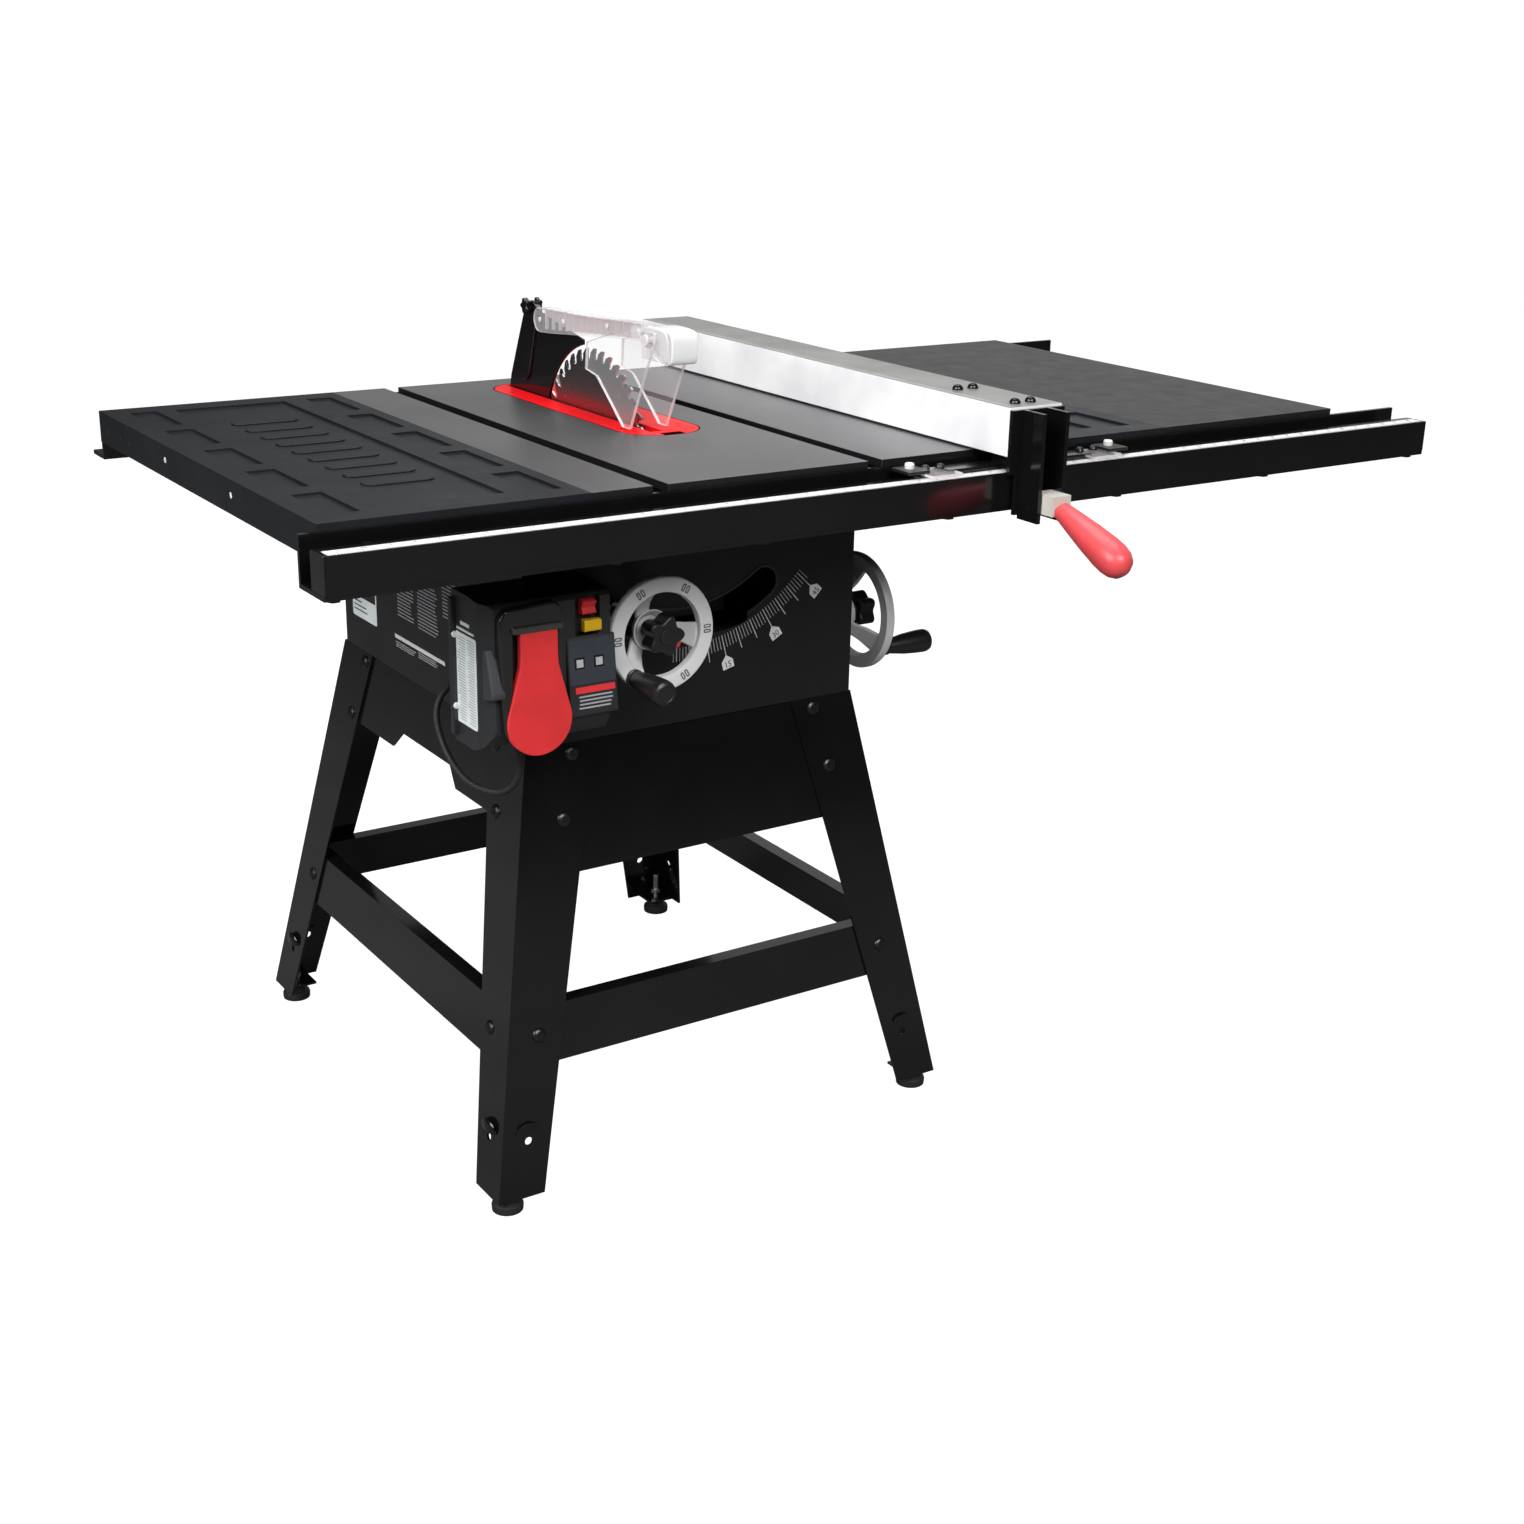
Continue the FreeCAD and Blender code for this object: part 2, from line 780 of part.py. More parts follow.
def table_insert():
    """The red insert, with the blade slot and a pocket for its lock lever."""
    low = TABLE_TOP - dim("insert_thick")
    slot = box((BLADE_X - 5, BLADE_X + 12), (262, dim("insert_rear") - 5), (low - 1, TABLE_TOP + 1))
    pocket = box((231, 260), (237.5, 252.5), (low + 1, TABLE_TOP + 1))
    pin_bore = rod("x", (249, TABLE_TOP - 2.1), (228, 263), 1.25)
    node("table_insert", cut(insert_block(0.5, (low, TABLE_TOP)), slot, pocket, pin_bore))
    node(
        "insert_lever",
        fuse(
            box((231.5, 259.5), (238, 251), (TABLE_TOP - 3.8, TABLE_TOP - 0.2)),
            rod("x", (249, TABLE_TOP - 2.1), (228.5, 262.5), 1.2),
        ),
    )


# ---------------------------------------------------------------- rails


def rails():
    across = (dim("rail_left"), dim("rail_right"))
    thick = dim("rail_thick")
    depth = dim("table_depth")
    low = dim("rail_low")
    front = fuse(
        box(across, (-thick, 0), (low, dim("rail_high"))),
        box(across, (-dim("front_rail_reach"), 0), (low, low + thick)),
    )
    node("front_rail", cut(front, SIDE_HOLES, TUBE_HOLES))
    rear_across = (dim("rear_rail_left"), dim("rail_right"))
    rear = fuse(
        box(rear_across, (depth, depth + thick), (low, dim("rail_high"))),
        box(rear_across, (depth, depth + dim("rear_rail_reach")), (low, low + thick)),
    )
    node("rear_rail", cut(rear, SIDE_HOLES))
    cap = 2.5
    wall = dim("tube_wall")
    tube_x = (dim("rail_left") + cap, dim("rail_right") - cap)
    tube_y = (dim("tube_front"), TUBE_REAR)
    tube = cut(
        box(tube_x, tube_y, (TUBE_LOW, TUBE_TOP)),
        box((tube_x[0] - 1, tube_x[1] + 1), (tube_y[0] + wall, tube_y[1] - wall),
            (TUBE_LOW + wall, TUBE_TOP - wall)),
    )
    node("front_tube", cut(tube, TUBE_HOLES))
    node(
        "tube_end_caps",
        box((dim("rail_left"), tube_x[0]), tube_y, (TUBE_LOW, TUBE_TOP)),
        box((tube_x[1], dim("rail_right")), tube_y, (TUBE_LOW, TUBE_TOP)),
    )
    node("scale_tape", box((tube_x[0] + 4, tube_x[1] - 4), (-60, -44), (TUBE_TOP, TUBE_TOP + 0.4)))


# ---------------------------------------------------------------- tilting gear


def below(radius, angle):
    """A point under the tilt axis; the angle grows to the right."""
    return (BLADE_X + radius * sine(angle), TABLE_TOP - radius * cosine(angle))


def arc_below(span, inner, outer, left, right):
    """An arc under the tilt axis between two angles from straight down."""
    return ring("y", (BLADE_X, TABLE_TOP), span, inner, outer, 90 - right, right - left)


FRONT_TRUNNION_Y = (176, 190)
REAR_TRUNNION_Y = (620, 634)


def trunnions():
    """Two curved guides under the cast table that the cradle tilts on."""
    under = TABLE_TOP - dim("plate_thick")
    inner = dim("trunnion_radius") - dim("trunnion_half")
    outer = dim("trunnion_radius") + dim("trunnion_half")
    guides = []
    for span in (FRONT_TRUNNION_Y, REAR_TRUNNION_Y):
        flange = box((BLADE_X - 108, BLADE_X + 108), span, (under - 8, under))
        guides.append(fuse(arc_below(span, inner, outer, -80, 80), flange))
    node("trunnions", *guides)


def cradle():
    """End plates, shoes around the trunnions, a side beam, the tilt sector and the motor arm."""
    inner = dim("trunnion_radius") - dim("trunnion_half")
    outer = dim("trunnion_radius") + dim("trunnion_half")
    gap = 0.5
    front_plate = (191, 199)
    rear_plate = (611, 619)
    plate_z = (655, 790)
    plate_x = (100, 286)
    beam_x = (100, 112)
    pieces = [
        box(plate_x, front_plate, plate_z),
        box(beam_x, (198, 612), (700, 770)),
        box(beam_x, (240, 252), (664, 701)),
        box(beam_x, (318, 330), (664, 701)),
        box((100, 142), (318, 330), (664, 692)),
    ]
    for span, plate_side in ((FRONT_TRUNNION_Y, 191.5), (REAR_TRUNNION_Y, 618.5)):
        shoe = (span[0] - 1, plate_side) if span is FRONT_TRUNNION_Y else (plate_side, span[1] + 1)
        pieces.append(arc_below(shoe, inner - 10, inner - gap, -30, 30))
        pieces.append(arc_below(shoe, outer + gap, outer + 9, -30, 30))
    rear = cut(
        box(plate_x, rear_plate, plate_z),
        box((dim("pulley_across") - 14, dim("pulley_across") + 14), (610, 620), (670, 800)),
    )
    pieces.append(rear)
    sector_outer = TABLE_TOP - dim("tilt_height") - dim("worm_radius") - 0.1
    pieces.append(arc_below((240, 252), sector_outer - 20, sector_outer, -51, 6))
    pieces.append(box((195, 255), (618, 768 - 10), (690, 725)))
    pieces.append(box((190, 350), (757, dim("motor_deep") - dim("motor_radius")), (660, 722)))
    pin = rod("x", (dim("pivot_deep"), dim("pivot_height")), (111, 214), dim("pivot_radius"))
    pieces.append(pin)
    pieces.append(box(beam_x, (266, 302), (760, 793)))
    shaft_bore = rod(
        "y",
        (dim("lift_across"), dim("lift_height")),
        (180, 340),
        dim("lift_radius") + dim("running_gap"),
    )
    node("cradle", cut(fuse(*pieces), shaft_bore))


def motor():
    """The motor's housing, fixed to the cradle behind the table."""
    left = dim("pulley_across") + 22
    right = left + dim("motor_length")
    centre = (dim("motor_deep"), dim("motor_height"))
    radius = dim("motor_radius")
    housing = fuse(
        rod("x", centre, (left + 18, right - 18), radius),
        taper("x", centre, (left, left + 18), radius - 14, radius - 2),
        taper("x", centre, (right - 18, right), radius - 2, radius - 14),
        box((200, 340), (dim("motor_deep") - radius, dim("motor_deep") - radius + 24), (665, 715)),
        box((220, 300), (dim("motor_deep") - 30, dim("motor_deep") + 30), (760, 780)),
    )
    bore = rod("x", centre, (left - 1, left + 30), 9.05)
    node("motor_housing", cut(housing, bore))
    half = dim("belt_width") / 2
    pulley_x = (dim("pulley_across") - half, dim("pulley_across") + half)
    pulley = fuse(
        rod("x", centre, pulley_x, dim("motor_pulley") - 4),
        rod("x", centre, (pulley_x[0] - 2, pulley_x[0]), dim("motor_pulley") + 1),
        rod("x", centre, (pulley_x[1], pulley_x[1] + 2), dim("motor_pulley") + 1),
        rod("x", centre, (pulley_x[1], left + 28), 9),
    )
    node("motor_pulley", pulley)


def belt():
    """The drive belt: an open loop around the two pulleys."""
    half = dim("belt_width") / 2 - 0.3
    span = (dim("pulley_across") - half, dim("pulley_across") + half)
    small = (dim("arbor_deep"), dim("arbor_height"))
    large = (dim("motor_deep"), dim("motor_height"))
    rise = (large[1] - small[1]).value
    run = (large[0] - small[0]).value
    lean = math.degrees(math.atan2(rise, run))
    thick = 4

    def loop(small_radius, large_radius, cheeks):
        corners = []
        for centre, radius, turns in ((small, small_radius, (90, -90)), (large, large_radius, (-90, 90))):
            for turn in turns:
                corners.append((centre[0] + radius * cosine(lean + turn), centre[1] + radius * sine(lean + turn)))
        return fuse(
            plate("x", corners, cheeks),
            rod("x", small, cheeks, small_radius),
            rod("x", large, cheeks, large_radius),
        )

    inner = (dim("arbor_pulley") - thick + 0.1, dim("motor_pulley") - thick + 0.1)
    outer = loop(inner[0] + thick, inner[1] + thick, span)
    node("drive_belt", cut(outer, loop(inner[0], inner[1], (span[0] - 1, span[1] + 1))))


def arbor():
    """The lifting arm with its sector, the arbor that runs in it, and the blade."""
    pivot = (dim("pivot_deep"), dim("pivot_height"))
    centre = (dim("arbor_deep"), dim("arbor_height"))
    sector_radius = dim("pivot_height") - dim("lift_height") - dim("worm_radius") - 0.1
    arm_x = (170, 206)
    half_bar = 14
    bar = plate(
        "x",
        (
            (pivot[0] + 4, pivot[1] - half_bar),
            (centre[0] + 4, centre[1] - half_bar - 4),
            (centre[0] - 4, centre[1] + half_bar + 4),
            (pivot[0] - 4, pivot[1] + half_bar),
        ),
        arm_x,
    )
    sector_x = (dim("lift_across") - 6, dim("lift_across") + 6)
    sector = rod("x", pivot, sector_x, sector_radius, -6, 50)
    arm = fuse(
        bar,
        rod("x", pivot, (114, 212), 17),
        rod("x", centre, (166, 212), 25),
        sector,
    )
    bores = (
        rod("x", pivot, (113, 213), dim("pivot_radius") + dim("running_gap")),
        rod("x", centre, (165, 213), dim("arbor_radius") + dim("running_gap")),
    )
    node("arbor_arm", cut(arm, *bores))
    half_plate = dim("blade_plate") / 2
    half = dim("belt_width") / 2
    pulley_x = (dim("pulley_across") - half, dim("pulley_across") + half)
    shaft = fuse(
        rod("x", centre, (138, BLADE_X + 23), dim("arbor_radius") - 2),
        rod("x", centre, (160, BLADE_X - half_plate), dim("arbor_radius")),
        rod("x", centre, pulley_x, dim("arbor_pulley") - 4),
        rod("x", centre, (pulley_x[0] - 2, pulley_x[0]), dim("arbor_pulley") + 1),
        rod("x", centre, (pulley_x[1], pulley_x[1] + 2), dim("arbor_pulley") + 1),
        rod("x", centre, (214, BLADE_X - half_plate), 26),
        rod("x", centre, (BLADE_X + half_plate, BLADE_X + 7), 26),
        rod("x", centre, (BLADE_X + 6, BLADE_X + 20), 14),
    )
    node("arbor_shaft", shaft)
    disc = rod("x", centre, (BLADE_X - half_plate, BLADE_X + half_plate), dim("blade_radius") - 8)
    teeth = []
    tooth_count = 40
    for number in range(tooth_count):
        angle = 360 / tooth_count * number
        corners = []
        for radius, turn in ((117, -2.2), (117, 3.6), (125, 1.2), (127, -1.4)):
            reach = dim("blade_radius") * (radius / 127)
            corners.append((centre[0] + reach * cosine(angle + turn), centre[1] + reach * sine(angle + turn)))
        teeth.append(plate("x", corners, (BLADE_X - half_plate, BLADE_X + half_plate)))
    bore = rod("x", centre, (BLADE_X - 3, BLADE_X + 3), dim("arbor_radius") - 2)
    node("saw_blade", cut(fuse(disc, *teeth), bore))


def guard():
    """The spreader behind the blade, the clear bar, the pivot pin and two clear shields."""
    centre = (dim("arbor_deep"), dim("arbor_height"))
    clear = dim("blade_radius") + 4
    hug = []
    for angle in (77, 62, 47, 32, 18, 6):
        hug.append((centre[0] + clear * cosine(angle), centre[1] + clear * sine(angle)))
    outline = [(611, 740), (611, 850), (635, 862), (635, 868), (612, 920), (586, 971), (540, 971)]
    outline += [(480, 958), (434, 950)] + hug + [(560, 740)]
    node("spreader", plate("x", outline, (BLADE_X - 1.2, BLADE_X + 1.2)))
    cheek = [(536, 945), (548, 950), (553, 965), (548, 980), (536, 985), (420, 985), (300, 992), (214, 990)]
    cheek += [(208, 972), (300, 972), (430, 962)]
    bridge = ((424, 972), (424, 985), (300, 992), (214, 990), (208, 972), (300, 974))
    nose = ((206, 955), (214, 950), (230, 951), (248, 968), (248, 989), (206, 989), (199, 980), (199, 965))
    pivot = (dim("shield_pivot_deep"), dim("shield_pivot_height"))
    bar = fuse(
        plate("x", cheek, (BLADE_X - 8, BLADE_X - 4)),
        plate("x", cheek, (BLADE_X + 4, BLADE_X + 8)),
        plate("x", bridge, (BLADE_X - 5, BLADE_X + 5)),
        plate("x", nose, (BLADE_X - 22, BLADE_X + 22)),
    )
    bore = rod("x", pivot, (BLADE_X - 23, BLADE_X + 23), 4.05)
    node("guard_bar", cut(bar, bore))
    node(
        "shield_pin",
        fuse(
            rod("x", pivot, (BLADE_X - 29, BLADE_X + 29), 4),
            rod("x", pivot, (BLADE_X - 31, BLADE_X - 27.6), 7),
            rod("x", pivot, (BLADE_X + 27.6, BLADE_X + 31), 7),
        ),
    )
    shield = (
        (293, 866.5), (276, 866.5), (246, 927), (222, 972), (220, 986), (244, 986), (318, 974), (380, 956),
        (383, 923), (356, 918), (315, 885),
    )
    for label, low in (("shield_left", BLADE_X - 27), ("shield_right", BLADE_X + 23)):
        span = (low, low + 4)
        node(label, cut(plate("x", shield, span), rod("x", pivot, (low - 1, low + 5), 4.05)))


# ---------------------------------------------------------------- handwheels


def handwheel(axis, centre, low, radius, bore, crank):
    """A ring rim on three spokes and a bored hub; one spoke points at the crank."""
    rim_half = dim("rim_radius")
    middle = size(low + rim_half)
    wheel = [rim(axis, centre, middle, radius - rim_half, rim_half)]
    hub_span = (middle - 12, middle + 12)
    wheel.append(rod(axis, centre, hub_span, 17))
    first = 90 + crank.value if axis == "x" else -crank.value
    for angle in (first, first + 120, first + 240):
        spoke = make("Part::Box")
        bind(spoke, "Length", radius - rim_half - 10)
        bind(spoke, "Width", 14)
        bind(spoke, "Height", 8)
        turn = FreeCAD.Rotation(FreeCAD.Vector(0, 0, 1), angle)
        spoke.Placement.Rotation = ALONG[axis].multiply(turn)
        corner = spoke.Placement.Rotation.multVec(FreeCAD.Vector(10, -7, -4))
        start = on_axis(axis, middle, centre)
        place(spoke, *(size(part) + offset for part, offset in zip(start, corner)))
        wheel.append(spoke)
    return cut(fuse(*wheel), rod(axis, centre, (middle - 20, middle + 20), bore))


def crank_handle(axis, spot, start, outward):
    """A tapered handle that spins on the rim."""
    spans = ((4, 30, 9, 13), (30, 62, 13, 14), (62, 70, 14, 8))
    collar = (start + 0.2, start + 5) if outward > 0 else (start - 5, start - 0.2)
    pieces = [rod(axis, spot, collar, 10)]
    for first, last, low_radius, high_radius in spans:
        if outward > 0:
            pieces.append(taper(axis, spot, (start + first, start + last), low_radius, high_radius))
        else:
            pieces.append(taper(axis, spot, (start - last, start - first), high_radius, low_radius))
    return fuse(*pieces)


def lock_knob(axis, centre, start, outward):
    """A round knob with five lobes in front of the hub."""
    ends = (start + 0.2, start + 18.2) if outward > 0 else (start - 18.2, start - 0.2)
    pieces = [rod(axis, centre, ends, 13)]
    for angle in range(0, 360, 72):
        lobe = (centre[0] + 12 * cosine(angle), centre[1] + 12 * sine(angle))
        pieces.append(rod(axis, lobe, ends, 5.5))
    return fuse(*pieces)


def lift_controls():
    """Handwheel, shaft and worm that raise the blade; all of it tilts with the cradle."""
    centre = (dim("lift_across"), dim("lift_height"))
    radius = dim("wheel_radius")
    front = dim("wheel_front")
    angle = dim("crank_angle")
    crank = (centre[0] + dim("crank_radius") * cosine(angle), centre[1] + dim("crank_radius") * sine(angle))
    shaft_radius = dim("lift_radius")
    node("handwheel_front", handwheel("y", centre, front, radius, shaft_radius + 0.05, angle))
    node("crank_handle_front", crank_handle("y", crank, front, -1))
    node("lock_knob_front", lock_knob("y", centre, front - 4, -1))
    shaft = fuse(
        rod("y", centre, (front - 3.5, 332), shaft_radius),
        rod("y", centre, (262, 306), dim("worm_radius")),
        rod("y", centre, (306.5, 317.5), 11),
        rod("y", centre, (170, 190.5), 11),
    )
    node("elevation_shaft", shaft)


def tilt_controls():
    """Handwheel, shaft and worm on the right side that tilt the cradle."""
    centre = (dim("tilt_deep"), dim("tilt_height"))
    radius = dim("side_wheel_radius")
    low = dim("side_wheel_across")
    outer = low + dim("rim_radius") * 2
    angle = dim("side_crank_angle")
    reach = dim("side_crank_radius")
    crank = (centre[0] + reach * cosine(angle), centre[1] + reach * sine(angle))
    shaft_radius = dim("tilt_radius")
    node("handwheel_right", handwheel("x", centre, low, radius, shaft_radius + 0.05, angle))
    node("crank_handle_right", crank_handle("x", crank, outer, 1))
    node("lock_knob_right", lock_knob("x", centre, outer + 4, 1))
    shaft = fuse(
        rod("x", centre, (196, outer + 3.5), shaft_radius),
        rod("x", centre, (205, 257), dim("worm_radius")),
        rod("x", centre, (282.5, 292), 13),
        rod("x", centre, (dim("cabinet_right") + 0.5, dim("cabinet_right") + 12), 14),
    )
    node("tilt_shaft", shaft)


# ---------------------------------------------------------------- fence


def fence():
    left = dim("fence_left")
    right = dim("fence_right")
    low = dim("fence_low")
    high = dim("fence_high")
    front = dim("fence_front")
    rear = dim("fence_rear")
    face = 9
    tube_y = (front, rear - 2)
    tube_x = (left + face, right - face)
    tube_z = (low + 2, high)
    wall = 3
    tube = cut(
        box(tube_x, tube_y, tube_z),
        box((tube_x[0] + wall, tube_x[1] - wall), (front - 1, rear), (tube_z[0] + wall, tube_z[1] - wall)),
    )
    middle = (left + right) / 2
    spots = [(middle + across, deep) for across in (-11.5, 11.5) for deep in (63, -41)]
    screws = [rod("z", spot, (high - 8, high + 5.5), 6.5) for spot in spots]
    screw_holes = [rod("z", spot, (high - 9, high + 7), 6.6) for spot in spots]
    node("fence_tube", cut(tube, *screw_holes))
    node("fence_screws", *screws)
    node(
        "fence_faces",
        box((left, left + face), (front, rear - 2), (low, high)),
        box((right - face, right), (front, rear - 2), (low, high)),
    )
    node("fence_glides", *fence_glides(tube_x, middle, rear))
    node("fence_head", fence_head(middle, tube_x, front))
    cursors(middle)
    lever(middle - dim("lever_offset"))


def fence_glides(tube_x, middle, rear):
    """Rear end cap, the glides on the rails, and the two clamp pads."""
    cap_z = (dim("fence_low") + 1, dim("fence_high") - 1)
    pieces = [box((tube_x[0] - 8, tube_x[1] + 8), (rear - 2, rear), cap_z)]
    pieces.append(box((middle - 14, middle + 14), (dim("table_depth") + 0.5, dim("table_depth") + 8),
                      (dim("rail_high") + 0.4, dim("fence_low") + 2)))
    for side in (-1, 1):
        across = middle + side * 96
        pieces.append(box((across - 6, across + 6), (TUBE_REAR + 0.2, TUBE_REAR + 4), (822, 842)))
        pieces.append(box((across - 8, across + 8), (-40, -33), (TUBE_TOP + 0.2, TUBE_TOP + 2)))
    return pieces


def fence_head(middle, tube_x, front):
    """A channel across the front tube, a saddle for the beam and two lever cheeks."""
    half = 108
    top = (TUBE_TOP + 2, TUBE_TOP + 7)
    saddle_x = (tube_x[0] + 4, tube_x[1] - 4)
    pieces = [
        box((middle - half, middle + half), (-46, -22), top),
        box((middle - 30, middle + 30), (-72, -22), top),
        box((middle - 30, middle + 30), (-72, -67), (800, top[1])),
        box((middle - half, middle + half), (TUBE_REAR + 4, TUBE_REAR + 9), (816, top[1])),
        box(saddle_x, (-72, -22), (top[0], dim("fence_low") + 2)),
        box((dim("fence_left"), dim("fence_right")), (-70, front), (846, 919.5)),
    ]
    cam = middle - dim("lever_offset")
    for side in (-1, 1):
        cheek = cam + side * 17
        pieces.append(box((cheek - 2.5, cheek + 2.5), (-104, -69), (795, 919.5)))
    window = box((cam - 14.4, cam + 14.4), (-75, -64), (796, 846))
    pin_bore = rod("x", (dim("lever_deep"), dim("lever_height")), (cam - 20, cam + 20), 5.05)
    return cut(fuse(*pieces), window, pin_bore)


def cursors(middle):
    """Clear reading windows beside the head, with their blocks and knobs."""
    windows = []
    knobs = []
    for side in (-1, 1):
        near = middle + side * 108
        far = middle + side * 143
        across = (near, far) if side > 0 else (far, near)
        windows.append(box(across, (-60, -8), (TUBE_TOP + 3, TUBE_TOP + 6)))
        spot = middle + side * 126
        knobs.append(
            fuse(
                rod("z", (spot, -16), (TUBE_TOP + 6, TUBE_TOP + 12), 7),
                box((spot - 11, spot + 11), (-30, -22.5), (TUBE_TOP + 6, TUBE_TOP + 10)),
                box((spot - 11, spot + 11), (-23, -9), (TUBE_TOP + 6, TUBE_TOP + 7)),
            )
        )
    node("cursor_windows", *windows)
    node("cursor_knobs", *knobs)


def lever(middle):
    """The clamp lever: a steel cam block between the cheeks and a red tapered grip."""
    pivot = (dim("lever_deep"), dim("lever_height"))
    block = fuse(
        rod("x", pivot, (middle - 14, middle + 14), 13),
        box((middle - 13.5, middle + 13.5), (-122, pivot[0]), (pivot[1] - 8, pivot[1] + 15)),
        rod("x", pivot, (middle - 19.3, middle + 19.3), 5),
    )
    droop = 22.4
    turn = FreeCAD.Rotation(FreeCAD.Vector(1, 0, 0), 90 + droop)
    sections = ((0, 12, 8, 11), (12, 70, 11, 19), (70, 101, 19, 20), (101, 116, 20, 11), (116, 122, 11, 3))
    pieces = []
    for first, last, start_radius, end_radius in sections:
        cone = make("Part::Cone")
        bind(cone, "Radius1", start_radius)
        bind(cone, "Radius2", end_radius)
        bind(cone, "Height", last - first)
        cone.Placement.Rotation = turn
        place(cone, middle, -122 - first * cosine(droop), pivot[1] - first * sine(droop))
        pieces.append(cone)
    grip = cut(fuse(*pieces), box((middle - 30, middle + 30), (-122, -90), (750, 850)))
    node("fence_lever", block)
    node("fence_grip", grip)


# ---------------------------------------------------------------- switch


def switch():
    left = dim("box_left")
    right = dim("box_right")
    front = dim("box_front")
    rear = dim("box_rear")
    low = dim("box_low")
    high = dim("box_high")
    wall = 3
    shell = cut(
        box((left, right), (front, rear), (low, high)),
        box((left + wall, right - wall), (front + wall, rear + 1), (low + wall, high - wall)),
    )
    paddle = dim("paddle_across")
    ears = [box((x, x + 5), (front - 16, front + 1), (724, 740)) for x in (paddle - 32, paddle + 27)]
    bracket = box((0, right - 5), (rear - 10, dim("cabinet_front")), (low + 10, high - 10))
    rocker_hole = box((17, 37), (front - 1, front + wall + 1), (715, 735))
    key_hole = box((23.5, 34.5), (front - 1, front + wall + 1), (702.5, 709.5))
    pin_bore = rod("x", (front - 9, 732), (paddle - 33, paddle + 33), 3.05)
    body = cut(fuse(shell, *ears, bracket), rocker_hole, key_hole, pin_bore)
    node("switch_box", body)
    neck = box((paddle - 23, paddle + 23), (front - 14, front - 5), (640, 738))
    flare = ((paddle - 23, 700), (paddle + 23, 700), (paddle + 38, 621), (paddle - 38, 621))
    blade = fuse(
        neck,
        rod("y", (paddle, 609), (front - 14, front - 5), 39),
        rod("x", (front - 9, 732), (paddle - 31.5, paddle + 31.5), 3),
        plate("y", flare, (front - 14, front - 5)),
    )
    node("stop_paddle", blade)
    node(
        "power_rocker",
        fuse(
            box((18, 36), (front - 5, front + 5), (716.5, 733.5)),
            rod("x", (front + 5.5, 725), (16, 38), 2),
        ),
    )
    node(
        "safety_key",
        fuse(
            box((18, 40), (front - 9, front - 0.5), (698, 713)),
            box((24, 34), (front - 1, front + 12), (703, 709)),
        ),
    )


CABLE_ROUTE = (
    (-18, 252, 602),
    (-29, 252, 602),
    (-48, 251, 597),
    (-64, 247.6, 585),
    (-73, 242.5, 566),
    (-73.5, 228, 540),
    (-71, 206, 518),
    (-66, 178, 503),
    (-58, 152, 499.5),
    (-48.4, 128.4, 501.3),
    (-40.8, 109.8, 514.4),
    (-37, 100, 536),
    (-37, 100, 556),
)


def cable_path(points):
    """Straight runs joined by tangent arcs, as large as the runs allow."""
    spots = [FreeCAD.Vector(*point) for point in points]
    edges = []
    start = spots[0]
    for before, here, after in zip(spots, spots[1:], spots[2:]):
        back = before - here
        ahead = after - here
        turn = math.pi - back.getAngle(ahead)
        reach = 0.45 * min(back.Length, ahead.Length)
        radius = reach / math.tan(turn / 2)
        print(f"cable bend radius {radius:.0f}")
        entry = here + back.normalize() * reach
        leave = here + ahead.normalize() * reach
        towards = (entry + leave) * 0.5 - here
        distance = math.hypot(radius, reach)
        middle = here + towards.normalize() * (distance - radius)
        edges.append(Part.LineSegment(start, entry).toShape())
        edges.append(Part.Arc(entry, middle, leave).toShape())
        start = leave
    edges.append(Part.LineSegment(start, spots[-1]).toShape())
    return Part.Wire(edges)


def cable():
    """The cable loop from the cabinet's side to the bottom of the switch box."""
    radius = dim("cable_radius").value
    path = cable_path(CABLE_ROUTE)
    first = FreeCAD.Vector(*CABLE_ROUTE[0])
    heading = FreeCAD.Vector(*CABLE_ROUTE[1]) - first
    section = Part.Wire(Part.makeCircle(radius, first, heading))
    tube = path.makePipeShell([section], True, False)
    share = tube.Volume / (math.pi * radius ** 2 * path.Length)
    print(f"cable length {path.Length:.0f} volume share {share:.4f}")
    thing = make("Part::Feature")
    thing.Shape = tube
    node("switch_cable", thing)
    node(
        "cable_glands",
        fuse(rod("x", (252, 602), (-10, dim("cabinet_left")), 10), taper("x", (252, 602), (-18, -10), 5.5, 8)),
        fuse(rod("z", (-37, 100), (564, dim("box_low")), 10), taper("z", (-37, 100), (556, 564), 5.5, 8)),
    )


# ---------------------------------------------------------------- the saw

for name, side_y in (("front_legs", -1), ("rear_legs", 1)):
    node(name, leg(-1, side_y), leg(1, side_y))
for name, side_x, side_y in CORNERS:
    foot(name, side_x, side_y)
stand_braces()
frame_bolts()
cabinet()
tables()
table_insert()
rails()
trunnions()
cradle()
motor()
belt()
arbor()
guard()
lift_controls()
tilt_controls()
fence()
switch()
cable()
document.recompute()

for thing in document.Objects:
    if "Invalid" in thing.State or "Error" in thing.State:
        raise RuntimeError(f"{thing.Name} {thing.Label} did not build")
os.makedirs("parts", exist_ok=True)
whole = FreeCAD.BoundBox()
for thing in NODES:
    if thing.Shape.isNull() or not thing.Shape.isValid() or not thing.Shape.Solids:
        raise RuntimeError(f"{thing.Label} has no valid solid")
    whole.add(thing.Shape.BoundBox)
    thing.Shape.exportStep(f"parts/{thing.Label}.step")
print(f"{len(NODES)} pieces, box {whole}")
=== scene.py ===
import math
import random

import bmesh
import bpy
from mathutils import Matrix, Vector


